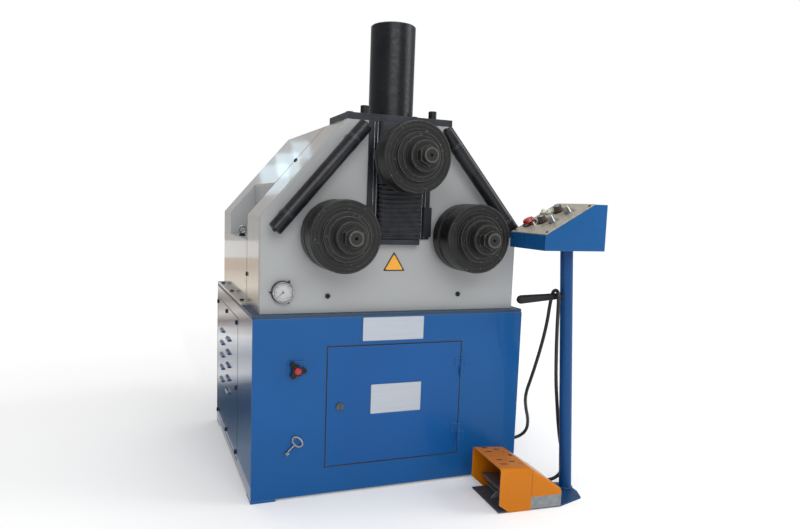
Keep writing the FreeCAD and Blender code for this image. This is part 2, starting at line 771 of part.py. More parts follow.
def press_cylinder():
    """Barrel with its gland and end cap, hollow for the piston."""
    inner = PISTON_R + SLIP
    bore = ROD_R + SLIP
    top = BARREL_Z - TOP_PLATE_Z
    lip = 3.0
    profile = [(bore, 0), (BARREL_R, 0), (BARREL_R, top - lip), (BARREL_R - lip, top), (0, top),
               (0, top - CAP_W), (inner, top - CAP_W), (inner, GLAND_W), (bore, GLAND_W)]
    return lathe(profile, V(0, PRESS_Y, TOP_PLATE_Z), Z)


def guide_rails():
    """Rails either side of the ram slot, with a groove between two lands, a flange on the plate
    and a thick lower pad."""
    front = FACE_Y - RAIL_OUT
    rail = box(RAM_X + FREE, RAIL_X, front, PLATE_BACK_Y, SLOT_Z, HOUSING_Z)
    groove_x = RAM_X + LAND_W
    groove = box(groove_x, groove_x + RAIL_GROOVE_W, front, front + RAIL_GROOVE_T, SLOT_Z, HOUSING_Z)
    flange = box(RAIL_X, RAIL_FLANGE_X, FACE_Y - RAIL_OUT * 0.75, FACE_Y, SLOT_Z, HOUSING_Z)
    pad_z = SLOT_Z + PAD_LIFT
    pad = box(RAM_X + PAD_INSET, PAD_X, FACE_Y - RAIL_OUT * 2, FACE_Y, pad_z, pad_z + PAD_H)
    edges = [e for e in pad.Edges if e.BoundBox.ZLength > PAD_H - 1 and e.BoundBox.YMin < FACE_Y - 1]
    pad = pad.makeChamfer(4, edges)
    return both(fuse([rail.cut(groove), flange, pad]))


def ram_block():
    """Ram with ears behind the rails, the top roll's bore and the rod's socket."""
    body = box(-RAM_X, RAM_X, RAM_Y0, RAM_Y1, RAM_Z0, RAM_Z1)
    edges = [e for e in body.Edges if e.BoundBox.ZLength > RAM_H - 1 and e.BoundBox.YMax < RAM_Y0 + 1]
    body = body.makeChamfer(6, edges)
    ears = box(-EAR_X, EAR_X, PLATE_BACK_Y + FREE, PLATE_BACK_Y + FREE + EAR_T, RAM_Z0, RAM_Z1)
    bore = rod(SHAFT_R + SLIP, V(0, RAM_Y0, TOP_ROLL_Z), Y, RAM_DEPTH)
    socket = rod(ROD_R, V(0, PRESS_Y, RAM_Z1 - SOCKET), Z, SOCKET)
    return cut(body.fuse(ears), [bore, socket])


def piston_rod():
    foot = RAM_Z1 - SOCKET
    length = PISTON_Z1 - foot
    head = length - PISTON_W
    profile = [(0, 0), (ROD_R, 0), (ROD_R, head), (PISTON_R, head), (PISTON_R, length), (0, length)]
    return lathe(profile, V(0, PRESS_Y, foot), Z)


def zigzag(outer, height):
    """Points of one pleated edge, from the bottom to the top."""
    pitch = height / PLEATS
    points = []
    for i in range(PLEATS):
        points.append((outer - PLEAT_FOLD, i * pitch))
        points.append((outer, (i + 0.5) * pitch))
    points.append((outer - PLEAT_FOLD, height))
    return points


def bellows():
    """Pleated cover under the ram: two zigzag prisms crossed, so that the pleats mitre."""
    height = RAM_Z0 - BELLOWS_Z
    side = zigzag(BELLOWS_X, height)
    wide = [(x, BELLOWS_Z + z) for x, z in side] + [(-x, BELLOWS_Z + z) for x, z in reversed(side)]
    back = RAM_Y0 + BELLOWS_DEPTH
    deep = [(back - t, BELLOWS_Z + z) for t, z in zigzag(BELLOWS_DEPTH, height)]
    deep += [(back, BELLOWS_Z + height), (back, BELLOWS_Z)]
    front = prism_x(deep, -BELLOWS_X, BELLOWS_X)
    return front.common(prism_y(wide, RAM_Y0, back))


def bellows_base():
    """Plate under the bellows, on the face of the front plate."""
    plate = box(-BELLOWS_BASE_X, BELLOWS_BASE_X, RAM_Y0, FACE_Y, BELLOWS_Z - BELLOWS_BASE_T, BELLOWS_Z)
    edges = [e for e in plate.Edges if e.BoundBox.ZLength > 1 and e.BoundBox.YMax < RAM_Y0 + 1]
    return plate.makeFillet(5, edges)


def guide_bars():
    """Round bars along the slopes, held off the plate on two posts each."""
    up = V(-math.cos(SLOPE), 0, math.sin(SLOPE))
    inward = V(-math.sin(SLOPE), 0, -math.cos(SLOPE))
    foot = V(HOUSING_X, FACE_Y - BAR_OUT, SHOULDER_Z) + inward * BAR_INSET - up * BAR_LOW
    edge = 3.0
    profile = [(0, 0), (BAR_R - edge, 0), (BAR_R, edge), (BAR_R, BAR_LEN - edge),
               (BAR_R - edge, BAR_LEN), (0, BAR_LEN)]
    parts = [lathe(profile, foot, up)]
    for t in (POST_END, BAR_LEN - POST_END):
        parts.append(rod(POST_R, along(foot, up, t), Y, BAR_OUT))
    for t in (-STUB_LEN, BAR_LEN):
        parts.append(rod(STUB_R, along(foot, up, t), up, STUB_LEN))
    return both(fuse(parts))


def gauge_case():
    """Flange with three lugs, bezel ring and recessed dial with the needle's pivot."""
    centre = V(GAUGE_X, FACE_Y, GAUGE_Z)
    front = -GAUGE_DEPTH
    flange = rod(GAUGE_R - 2, V(GAUGE_X, FACE_Y - 4, GAUGE_Z), Y, 4)
    lugs = []
    for angle in (180, 58, -60):
        tip = V(GAUGE_X, FACE_Y - 4, GAUGE_Z) + turn_xz(angle) * LUG_CIRCLE_R
        lugs.append(rod(5.5, tip, Y, 4))
        lugs.append(rod(3.5, tip - Y * 2, Y, 2))
    profile = [(0, 0), (0, front + 10), (GAUGE_R - 4.5, front + 10), (GAUGE_R - 4.5, front),
               (GAUGE_R - 1.5, front), (GAUGE_R, front + 2), (GAUGE_R, front + 8), (GAUGE_R - 3, front + 10),
               (GAUGE_R - 3, 0)]
    body = lathe(profile, centre, Y)
    pivot = rod(1.5, V(GAUGE_X, FACE_Y + front + 6, GAUGE_Z), Y, 5)
    stub = rod(GAUGE_R - 6, centre, Y, 20)
    return fuse([flange, body, pivot, stub] + lugs)


def gauge_needle():
    y0 = FACE_Y - GAUGE_DEPTH + 7
    hub = ring(3.5, 1.5 + SLIP, V(GAUGE_X, y0, GAUGE_Z), Y, 2)
    pointer = prism_y([(GAUGE_X - 2, GAUGE_Z + 1.2), (GAUGE_X - 24, GAUGE_Z + 0.4), (GAUGE_X - 24, GAUGE_Z - 0.4),
                       (GAUGE_X - 2, GAUGE_Z - 1.2)], y0 + 0.5, y0 + 1.5)
    whole = hub.fuse(pointer.cut(rod(2, V(GAUGE_X, y0, GAUGE_Z), Y, 2)))
    return turned(whole, V(GAUGE_X, 0, GAUGE_Z), Y, -45)


# ---------------------------------------------------------------- rolls and gears
def shaft(centre, rear_y, seat):
    """Roll shaft with its threaded end, centre hole and, for a geared shaft, a key."""
    y0 = TIP_Y
    profile = [(0, 6), (5, 0), (THREAD_R - 2, 0), (THREAD_R, 2), (THREAD_R, COLLAR_Y - y0),
               (SHAFT_R, COLLAR_Y - y0), (SHAFT_R, rear_y - y0 - 2), (SHAFT_R - 2, rear_y - y0), (0, rear_y - y0)]
    whole = lathe(profile, at_y(centre, y0), Y)
    if seat:
        whole = whole.fuse(key_block(centre, 0, GEAR_Y0, GEAR_Y1))
    return whole


def key_block(centre, grow, y0, y1):
    half = SHAFT_R * 0.27 + grow
    return box(centre.x - half, centre.x + half, y0, y1, centre.z + SHAFT_R * 0.8,
               centre.z + SHAFT_R * 1.15 + grow)


def roll_discs(centre, set_off):
    """Profile roll: back disc, groove, front disc and stepped boss, bored for the shaft; the set-off
    makes the back disc thinner behind."""
    y0 = ROLL_BACK_Y
    back = ROLL_BACK_Y - set_off
    step = BOSS_Y + STEP_W
    marks = [(SHAFT_R, back), (ROLL_R - EDGE, back), (ROLL_R, back - EDGE),
             (ROLL_R, GROOVE_Y1 + EDGE), (ROLL_R - EDGE, GROOVE_Y1), (GROOVE_R, GROOVE_Y1),
             (GROOVE_R, GROOVE_Y0), (ROLL_R - EDGE, GROOVE_Y0), (ROLL_R, GROOVE_Y0 - EDGE),
             (ROLL_R, ROLL_FRONT_Y + EDGE), (ROLL_R - EDGE, ROLL_FRONT_Y), (BOSS_R, ROLL_FRONT_Y),
             (BOSS_R, step), (STEP_R, step), (STEP_R, BOSS_Y), (SHAFT_R, BOSS_Y)]
    return lathe([(r, y - y0) for r, y in marks], at_y(centre, y0), Y)


def roll_nut(centre):
    """Loose collar and the hexagon nut that clamps the roll."""
    edge = 2.0
    profile = [(SHAFT_R, 0), (COLLAR_R, 0), (COLLAR_R, -COLLAR_W + edge), (COLLAR_R - edge, -COLLAR_W),
               (SHAFT_R, -COLLAR_W)]
    collar = lathe(profile, at_y(centre, BOSS_Y), Y)
    nut = crowned_hexagon(NUT_FLATS, at_y(centre, COLLAR_Y), -Y, NUT_W).cut(
        rod(THREAD_R, at_y(centre, COLLAR_Y), -Y, NUT_W))
    return [collar, nut]


def spacer(centre, behind, length):
    """Distance ring behind the roll."""
    return ring(SHAFT_R + 14, SHAFT_R, at_y(centre, behind), Y, length)


def tooth_flank(teeth, module):
    """Half-tooth points (radius, angle) of an involute flank, from the root to the tip."""
    pitch_r = module * teeth / 2
    base_r = pitch_r * math.cos(math.radians(20))
    tip_r = pitch_r + module
    half = math.pi / (2 * teeth) - BACKLASH / 4 / pitch_r
    at_pitch = math.tan(math.radians(20)) - math.radians(20)
    points = [(pitch_r - 1.25 * module, half + at_pitch)]
    for radius in (base_r, (base_r + tip_r) / 2, tip_r):
        roll = math.sqrt(max(radius ** 2 / base_r ** 2 - 1, 0))
        points.append((radius, half + at_pitch - (roll - math.atan(roll))))
    return points


def gear(centre, teeth, first, bore):
    """Spur gear whose first tooth lies at the given angle, with four lightening holes."""
    points = []
    for i in range(teeth):
        middle = math.radians(first) + 2 * math.pi * i / teeth
        flank = tooth_flank(teeth, PITCH_MODULE)
        turns = [(r, middle - a) for r, a in flank] + [(r, middle + a) for r, a in reversed(flank)]
        points += [(centre.x + r * math.cos(t), centre.z + r * math.sin(t)) for r, t in turns]
    blank = prism_y(points, GEAR_Y0, GEAR_Y1)
    holes = [rod(bore, at_y(centre, GEAR_Y0), Y, GEAR_W)]
    web_r = (bore + PITCH_MODULE * teeth / 2) / 2
    for i in range(4):
        spot = at_y(centre, GEAR_Y0) + turn_xz(45 + 90 * i) * web_r
        holes.append(rod(web_r * 0.22, spot, Y, GEAR_W))
    return cut(blank, holes)


def roll_gear(centre):
    blank = gear(centre, ROLL_TEETH, 180 / ROLL_TEETH, SHAFT_R)
    return blank.cut(key_block(centre, 0, GEAR_Y0, GEAR_Y1))


def drive_gear():
    """Driving gear with its shaft, from the bearing wall to the gear motor."""
    centre = V(0, 0, ROLL_Z)
    wheel = gear(centre, DRIVE_TEETH, 0, drive_shaft_r())
    spindle = rod(drive_shaft_r(), at_y(centre, WALL_FRONT_Y), Y, GEAR_Y1 + 90 - WALL_FRONT_Y)
    return wheel.fuse(spindle).removeSplitter()


def gear_motor():
    """Gearbox with its foot, and the finned motor behind it."""
    front = GEAR_Y1 + 40
    centre = V(0, front, ROLL_Z)
    neck = 12
    rear = front + GEARBOX_LEN
    gearbox = rod(GEARBOX_R, centre, Y, GEARBOX_LEN)
    flange = rod(GEARBOX_R * 0.8, at_y(centre, front - neck), Y, neck)
    motor = rod(MOTOR_R, at_y(centre, rear), Y, MOTOR_LEN)
    pitch = MOTOR_LEN / (MOTOR_FINS + 1)
    fins = [rod(MOTOR_R + FIN_OUT, at_y(centre, rear + pitch * (i + 1)), Y, FIN_W) for i in range(MOTOR_FINS)]
    foot = box(-GEARBOX_R * 0.9, GEARBOX_R * 0.9, front, rear, CAB_TOP, ROLL_Z)
    plate = box(-MOTOR_FOOT_X, MOTOR_FOOT_X, front, rear + FIN_W, CAB_TOP, CAB_TOP + MOTOR_FOOT_T)
    bore = rod(drive_shaft_r() + SLIP, at_y(centre, front - neck), Y, neck + GEARBOX_LEN * 0.6)
    return fuse([gearbox, flange, motor, foot, plate] + fins).cut(bore)


def oil_unit():
    """Hollow oil tank with its lid, the pump's motor standing on it and the valve block."""
    lid_z = FLOOR_Z + TANK_H
    deck_z = lid_z + LID_T
    wall = TANK_WALL
    tank = box(TANK_X0, TANK_X1, TANK_Y0, TANK_Y1, FLOOR_Z, lid_z)
    tank = tank.cut(box(TANK_X0 + wall, TANK_X1 - wall, TANK_Y0 + wall, TANK_Y1 - wall, FLOOR_Z + wall, lid_z))
    lid = box(TANK_X0 - TANK_LIP, TANK_X1 + TANK_LIP, TANK_Y0 - TANK_LIP, TANK_Y1 + TANK_LIP, lid_z, deck_z)
    base = V(PUMP_X, PUMP_Y, deck_z)
    body = rod(PUMP_R, base, Z, PUMP_H)
    pitch = PUMP_H / (PUMP_FINS + 1)
    fins = [rod(PUMP_R + FIN_OUT, base + Z * (pitch * (i + 1)), Z, FIN_W) for i in range(PUMP_FINS)]
    block = box(VALVE_X - VALVE_W / 2, VALVE_X + VALVE_W / 2, PUMP_Y - VALVE_W / 2, PUMP_Y + VALVE_W / 2,
                deck_z, deck_z + VALVE_H)
    return fuse([tank, lid, body, block] + fins)


# ---------------------------------------------------------------- control stand
def on_stand(shape):
    """Turn a shape drawn square to the machine about the plate's corner, to the stand's direction."""
    return turned(shape, V(BASE_X0, BASE_Y0, 0), Z, -STAND_TURN)


def post_place(z):
    """Point of the post's leaning axis at a height."""
    share = (z - BASE_T) / (DESK_Z - BASE_T)
    return V(STAND_FOOT[0] + (STAND_HEAD[0] - STAND_FOOT[0]) * share,
             STAND_FOOT[1] + (STAND_HEAD[1] - STAND_FOOT[1]) * share, z)


def post_rod(radius, z0, z1):
    """Length of the leaning post, cut level at both ends."""
    axis = (post_place(DESK_Z) - post_place(BASE_T)).normalize()
    reach = 3 * radius
    blank = rod(radius, post_place(z0) - axis * reach, axis, (z1 - z0) / axis.z + 2 * reach)
    middle = post_place((z0 + z1) / 2)
    side = 500
    return blank.common(box(middle.x - side, middle.x + side, middle.y - side, middle.y + side, z0, z1))


def stand_base():
    """Thin floor plate under the pedal and the post, tapered at the post's end."""
    long = BASE_LEN * 0.66
    tip = BASE_LEN - 16
    half = [(0, 0), (long, 0), (tip, BASE_W * 0.19), (BASE_LEN, BASE_W * 0.43)]
    points = half + [(x, BASE_W - y) for x, y in reversed(half)]
    return on_stand(prism_z([(BASE_X0 + x, BASE_Y0 + y) for x, y in points], 0, BASE_T))


def stand_post():
    """Leaning tube with a collar at its foot and a square plate under the desk."""
    head_z = DESK_Z - 4
    tube = post_rod(STAND_R, BASE_T, head_z).cut(post_rod(STAND_R - STAND_WALL, BASE_T, head_z))
    collar = post_rod(STAND_R + COLLAR_OUT, BASE_T, BASE_T + 6).cut(post_rod(STAND_R, BASE_T, BASE_T + 6))
    top = post_place(DESK_Z)
    head = box(top.x - 42, top.x + 42, top.y - 40, top.y + 40, head_z, DESK_Z)
    return fuse([tube, collar, head])


def cable_hook():
    """Tapered grip square to the post, rounded at its free end."""
    root = post_place(HOOK_Z)
    axis = post_place(DESK_Z) - post_place(BASE_T)
    out = V(-axis.z, 0, axis.x).normalize()
    tip = HOOK_TIP_R
    reach = STAND_R + HOOK_LEN
    round_off = [(tip * math.sin(math.radians(a)), reach - tip + tip * math.cos(math.radians(a)))
                 for a in (60, 30, 0)]
    profile = [(0, 0), (HOOK_ROOT_R, 0), (HOOK_ROOT_R, STAND_R), (tip, reach - tip)] + round_off
    return lathe(profile, root, out).cut(post_rod(STAND_R, HOOK_Z - 60, HOOK_Z + 60))


def desk_outline(inset):
    """Side view of the desk, moved inwards by the inset."""
    drop = inset / math.cos(DESK_SLOPE)
    flat = inset * math.tan(DESK_SLOPE / 2)
    low = DESK_LOW - drop + inset * math.tan(DESK_SLOPE)
    return [(DESK_X0 + inset, DESK_Z + inset), (DESK_X1 - inset, DESK_Z + inset),
            (DESK_X1 - inset, DESK_Z + DESK_HIGH - inset), (DESK_X1 - DESK_TOP + flat, DESK_Z + DESK_HIGH - inset),
            (DESK_X0 + inset, DESK_Z + low)]


def panel_length():
    return (DESK_X1 - DESK_TOP - DESK_X0) / math.cos(DESK_SLOPE)


def on_panel(shape):
    """Place a shape drawn with X up the panel, Y across it and Z out of it."""
    copy = shape.copy()
    copy.rotate(V(0, 0, 0), Y, -math.degrees(DESK_SLOPE))
    copy.translate(V(DESK_X0, DESK_Y, DESK_Z + DESK_LOW))
    return copy


def desk_box():
    half = DESK_W / 2
    outer = prism_y(desk_outline(0), DESK_Y - half, DESK_Y + half)
    inner = prism_y(desk_outline(DESK_SHEET), DESK_Y - half + DESK_SHEET, DESK_Y + half - DESK_SHEET)
    mouth = box(12, panel_length() - 12, -half + 12, half - 12, -8, 0)
    return cut(outer, [inner, on_panel(mouth)])


def stem_hole(u, v, radius):
    return rod(radius, V(u, v, 0), Z, PANEL_T)


def desk_panel():
    length = panel_length()
    plate = box(2, length - 2, -DESK_W / 2 + 2, DESK_W / 2 - 2, 0, PANEL_T)
    holes = [stem_hole(u, v, STEM_R + SLIP) for u, v in dial_places() + selector_places()]
    holes.append(stem_hole(STOP_U, STOP_V, STEM_R + SLIP))
    return on_panel(cut(plate, holes))


def dial_places():
    return [(DIAL_U, DIAL_V), (HIGH_DIAL_U, HIGH_DIAL_V)]


def selector_places():
    return [(SELECTOR_U, SELECTOR_V), (HIGH_SELECTOR_U, HIGH_SELECTOR_V)]


def stop_button():
    """Mushroom head on its stem."""
    base = PANEL_T + STOP_TRAVEL + FREE
    profile = [(0, base), (STOP_R - 6, base), (STOP_R, base + 6), (STOP_R - 3, base + 13), (0, base + 18)]
    head = lathe(profile, V(STOP_U, STOP_V, 0), Z)
    stem = rod(STEM_R, V(STOP_U, STOP_V, -6), Z, base + 8)
    return on_panel(head.fuse(stem))


def dial(place):
    """Fluted round knob on its stem."""
    u, v = place
    base = PANEL_T + FREE
    skirt = rod(DIAL_R, V(u, v, base), Z, 5)
    grip = []
    for i in range(2 * DIAL_RIBS):
        radius = DIAL_R * (0.8 if i % 2 else 0.7)
        turn = math.radians(180 / DIAL_RIBS * i)
        grip.append((u + radius * math.cos(turn), v + radius * math.sin(turn)))
    stem = rod(STEM_R, V(u, v, -6), Z, base + 8)
    return on_panel(fuse([skirt, prism_z(grip, base, base + 20), stem]))


def selector(place):
    """Rotary selector with a raised lever."""
    u, v = place
    base = PANEL_T + FREE
    bezel = lathe([(0, 0), (SELECTOR_R, 0), (SELECTOR_R, 5), (SELECTOR_R - 3, 9), (0, 9)], V(u, v, base), Z)
    lever = box(-5, SELECTOR_R + 4, -4, 4, base, base + 20)
    edges = [e for e in lever.Edges if e.BoundBox.ZLength > 15]
    lever = lever.makeFillet(3, edges)
    lever.rotate(V(0, 0, 0), Z, 150)
    lever.translate(V(u, v, 0))
    stem = rod(STEM_R, V(u, v, -6), Z, base + 8)
    return on_panel(fuse([bezel, lever, stem]))


def lamps():
    parts = []
    profile = [(0, 0), (LAMP_R, 0), (LAMP_R, 4), (LAMP_R - 4, 7), (LAMP_R - 7, 12), (0, 13)]
    for i in (-0.5, 0.5):
        parts.append(on_panel(lathe(profile, V(LAMP_U, LAMP_V + i * LAMP_STEP, PANEL_T), Z)))
    return parts


# ---------------------------------------------------------------- foot pedal
def guard_body(inset):
    """Block with the guard's side view and rounded upper edges; the inset leaves its sheet."""
    slant = (GUARD_KNEE_Z - GUARD_REAR_Z) / (PEDAL_LEN - GUARD_KNEE)
    under = inset * math.sqrt(1 + slant ** 2)
    front = PEDAL_X0 - inset
    rear = PEDAL_X1 - inset
    knee = PEDAL_X0 + GUARD_KNEE
    points = [(front, GUARD_CLEAR_Z), (front, GUARD_FRONT_Z - inset), (knee, GUARD_KNEE_Z - inset),
              (rear, GUARD_REAR_Z - under + slant * inset), (rear, GUARD_CLEAR_Z)]
    body = prism_y(points, PEDAL_Y0 + inset, PEDAL_Y1 - inset)
    top = [e for e in body.Edges if e.BoundBox.YLength < 1 and e.BoundBox.XLength > 50
           and e.BoundBox.ZMax > GUARD_REAR_Z - under - 1]
    return body.makeFillet(GUARD_BEND_R - inset, top)


def roof_slot(x, y, length):
    """Round-ended slot along X through the guard's roof."""
    half = (length - SLOT_W) / 2
    low = GUARD_KNEE_Z - 25
    height = GUARD_FRONT_Z - low + 5
    middle = box(x - half, x + half, y - SLOT_W / 2, y + SLOT_W / 2, low, low + height)
    ends = [rod(SLOT_W / 2, V(x + s * half, y, low), Z, height) for s in (-1, 1)]
    return middle.multiFuse(ends)


def pedal_guard():
    """Bent sheet over the treadles, open in front, with its lower front corners cut away."""
    sheet = guard_body(0).cut(guard_body(GUARD_T))
    cuts = [box(PEDAL_X0 + RIM_START, PEDAL_X1 + 1, PEDAL_Y0 - 1, PEDAL_Y1 + 1, 0, RIM_Z)]
    for y, out, up in ((PEDAL_Y0, 37, 26), (PEDAL_Y1 - GUARD_T, 46, 40)):
        corner = [(PEDAL_X0 - 1, -1), (PEDAL_X0 + out, -1), (PEDAL_X0 + out, 1), (PEDAL_X0 - 1, up + 2)]
        cuts.append(prism_y(corner, y - 1, y + GUARD_T + 1))
    for shift in (0, SLOT_GROUP):
        y = BASE_Y0 + shift
        for x, across in ((35, 79), (72, 63), (33, 42)):
            cuts.append(roof_slot(PEDAL_X0 + x, y + across, SLOT_LEN))
        cuts.append(rod(SLOT_W / 3, V(PEDAL_X0 + 58, y + 79, GUARD_KNEE_Z - 25), Z, 40))
    cuts.append(box(PEDAL_X0 + 88, PEDAL_X0 + 102, BASE_Y0 + 112, BASE_Y0 + 126, GUARD_KNEE_Z - 25, GUARD_FRONT_Z))
    return on_stand(cut(sheet, cuts))


def treadle_ys():
    inner = PEDAL_W - 2 * GUARD_T
    gap = (inner - 2 * TREADLE_W) / 3
    first = PEDAL_Y0 + GUARD_T + gap
    return [first, first + TREADLE_W + gap]


def pedal_base():
    """Cast tray with raised rims, a wedge between the treadles, their pivot lugs and pins."""
    tray_z = PEDAL_Z + TRAY_T
    floor = box(PEDAL_X0 + TRAY_START, PEDAL_X1, BASE_Y0, BASE_Y0 + BASE_W, PEDAL_Z, tray_z)
    block = box(PEDAL_X0 + RIM_START, PEDAL_X1, PEDAL_Y0, PEDAL_Y1, PEDAL_Z, RIM_Z)
    rim = 8
    well = box(PEDAL_X0 + RIM_START, PEDAL_X1 - rim, PEDAL_Y0 + rim, PEDAL_Y1 - rim, tray_z, RIM_Z)
    parts = [floor.fuse(block.cut(well))]
    ys = treadle_ys()
    middle = (ys[0] + TREADLE_W + ys[1]) / 2
    wedge = [(22, PEDAL_Z), (TRAY_START + 3, PEDAL_Z), (TRAY_START + 3, tray_z), (49, 30)]
    parts.append(prism_y([(PEDAL_X0 + x, z) for x, z in wedge], middle - 2.5, middle + 2.5))
    lug = 4
    for y in ys:
        for end in (y - lug - FREE, y + TREADLE_W + FREE):
            parts.append(box(PIVOT_X - 7, PIVOT_X + 7, end, end + lug, tray_z, TREADLE_PIVOT_Z + 7))
        pin = V(PIVOT_X, y - lug, TREADLE_PIVOT_Z)
        parts.append(rod(TREADLE_PIN_R, pin, Y, TREADLE_W + 2 * lug))
    return on_stand(fuse(parts))


def treadle(y):
    """Foot plate with a bent front lip and a ribbed top, pivoting at its rear end."""
    front = PEDAL_X0 + TREADLE_START
    lift = TREADLE_PIVOT_Z
    top = lift + TREADLE_T / 2
    low = lift - TREADLE_T / 2
    sheet = TREADLE_T * 0.6
    side = [(front, top), (front + TREADLE_LIP, low - TREADLE_LIP + sheet),
            (front + TREADLE_LIP + sheet, low - TREADLE_LIP + sheet), (front + 2 * sheet, low),
            (PIVOT_X, low), (PIVOT_X, top)]
    parts = [prism_y(side, y, y + TREADLE_W)]
    pitch = (PIVOT_X - front) * 0.6 / TREADLE_RIBS
    for i in range(TREADLE_RIBS):
        x = front + 8 + pitch * i
        parts.append(box(x, x + pitch * 0.4, y + 6, y + TREADLE_W - 6, top, top + 1.5))
    parts.append(rod(TREADLE_PIN_R + 3, V(PIVOT_X, y, lift), Y, TREADLE_W))
    whole = fuse(parts).cut(rod(TREADLE_PIN_R + SLIP, V(PIVOT_X, y, lift), Y, TREADLE_W))
    return on_stand(turned(whole, V(PIVOT_X, 0, lift), Y, TREADLE_RISE))


# ---------------------------------------------------------------- cable
CABLE_POINTS = [
    (500, -345, 88), (546, -345, 88), (577, -368, 120), (567, -391, 174), (536, -415, 232),
    (512, -444, 290), (511, -479, 364), (508, -514, 441), (505, -544, 514), (500, -570, 584),
    (495, -586, 645), (492, -603.5, 696.5), (490.5, -636.5, 696.5), (489, -642, 655), (491, -640, 598),
    (496, -635, 530), (505, -627, 462), (517, -615, 402), (532, -601, 350), (547, -590, 296),
    (558, -586, 234), (571, -587, 158), (593, -592, 74), (563, -594.9, 24), (517.7, -592.1, 24),
]


def cable():
    """Free cable: straight runs joined by tangent arcs."""
    points = [V(*p) for p in CABLE_POINTS]
    edges = []
    start = points[0]
    radii = []
    for i in range(1, len(points) - 1):
        before = points[i - 1] - points[i]
        after = points[i + 1] - points[i]
        trim = 0.45 * min(before.Length, after.Length)
        bend = math.pi - before.getAngle(after)
        radii.append(trim / math.tan(bend / 2))
        a = points[i] + before.normalize() * trim
        b = points[i] + after.normalize() * trim
        middle = (before + after).normalize()
        centre = points[i] + middle * (radii[-1] / math.cos(bend / 2))
        m = centre - middle * radii[-1]
        edges.append(Part.LineSegment(start, a).toShape())
        edges.append(Part.Arc(a, m, b).toShape())
        start = b
    edges.append(Part.LineSegment(start, points[-1]).toShape())
    path = Part.Wire(edges)
    first = (points[1] - points[0]).normalize()
    section = Part.Wire([Part.Circle(points[0], first, CABLE_R).toShape()])
    tube = path.makePipeShell([section], True, False)
    expected = math.pi * CABLE_R ** 2 * path.Length
    print("cable radii", [round(r, 1) for r in radii])
    print("cable length", round(path.Length, 1), "volume ratio", round(tube.Volume / expected, 4))
    return tube


def cable_glands():
    """Gland at the cabinet and the longer strain relief at the pedal."""
    start = V(CAB_X, CAB_GLAND_Y, CAB_GLAND_Z)
    first = V(*CABLE_POINTS[0]).x - CAB_X
    nut = hexagon(GLAND_R * 1.8, start, X, 8)
    dome = lathe([(0, 8), (GLAND_R * 0.8, 8), (GLAND_R * 0.62, first), (0, first)], start, X)
    last = V(*CABLE_POINTS[-1])
    out = (V(*CABLE_POINTS[-2]) - last).normalize()
    end = PEDAL_GLAND_LEN
    relief = lathe([(0, 0), (GLAND_R, 0), (GLAND_R, 8), (GLAND_R * 0.75, 9), (CABLE_R + 1, end), (0, end)],
                   last - out * end, out)
    return [nut.fuse(dome), relief.cut(on_stand(box(PEDAL_X0, PEDAL_X1, PEDAL_Y0, PEDAL_Y1, 0, RIM_Z)))]


# ---------------------------------------------------------------- build
os.makedirs("parts", exist_ok=True)

for node, maker in {
        "cabinet_shell": cabinet_shell, "cabinet_front": cabinet_front, "cabinet_deck": cabinet_deck,
        "cabinet_floor": cabinet_floor, "anchor_feet": anchor_feet, "vent_covers": vent_covers,
        "front_plate": front_plate, "housing_shell": housing_shell, "shoulder_pockets": shoulder_pockets,
        "roll_bearings": roll_bearings, "rear_casing": rear_casing, "rear_hatch": rear_hatch,
        "top_plate": top_plate, "top_plate_bolts": top_plate_bolts, "press_cylinder": press_cylinder,
        "guide_rails": guide_rails, "bellows": bellows, "bellows_base": bellows_base,
        "guide_bars": guide_bars, "gauge_case": gauge_case, "gauge_needle": gauge_needle,
        "gear_motor": gear_motor, "oil_unit": oil_unit,
        "stand_base": stand_base, "stand_post": stand_post, "cable_hook": cable_hook,
        "desk_box": desk_box, "desk_panel": desk_panel, "lamps": lamps, "stop_button": stop_button,
        "pedal_base": pedal_base, "pedal_guard": pedal_guard, "pedal_cable": cable,
        "cable_glands": cable_glands, "door_panel": door_panel, "door_lock": door_lock,
        "switch_base": switch_base, "switch_knob": switch_knob, "key": key,
        "ram_block": ram_block, "piston_rod": piston_rod, "drive_gear": drive_gear}.items():
    save(node, maker())

for side, centre in zip(("left", "right"), lower_rolls()):
    save(side + "_shaft", shaft(centre, GEAR_Y1 + 5, True))
    save(side + "_discs", [roll_discs(centre, 0), spacer(centre, ROLL_BACK_Y, ROLL_GAP - BEARING_FLANGE_T - FREE)])
    save(side + "_nut", roll_nut(centre))
    save(side + "_gear", roll_gear(centre))

top = V(0, 0, TOP_ROLL_Z)
lock_ring = ring(SHAFT_R + 10, SHAFT_R, at_y(top, RAM_Y1 + FREE), Y, 6)
save("top_shaft", fuse([shaft(top, RAM_Y1 + FREE + 8, False), lock_ring]))
save("top_discs", [roll_discs(top, TOP_ROLL_OUT), spacer(top, ROLL_BACK_Y - TOP_ROLL_OUT, TOP_ROLL_OUT)])
save("top_nut", roll_nut(top))

for place, y in zip(("near", "far"), treadle_ys()):
    save(place + "_treadle", treadle(y))
for place, spot in zip(("front", "rear"), dial_places()):
    save(place + "_dial", dial(spot))
for place, spot in zip(("front", "rear"), selector_places()):
    save(place + "_selector", selector(spot))
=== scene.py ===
# %% [markdown]
# A ring roller bends steel sections between three rolls. The machine stands on a blue sheet
# cabinet, its grey housing carries the rolls, and a control desk and a foot pedal stand beside
# it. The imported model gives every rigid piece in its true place, so this script adds finishes,
# light and the small trim, and never moves a frame piece.

# %% Load the frame
import math

import bmesh
import bpy
from mathutils import Matrix, Vector


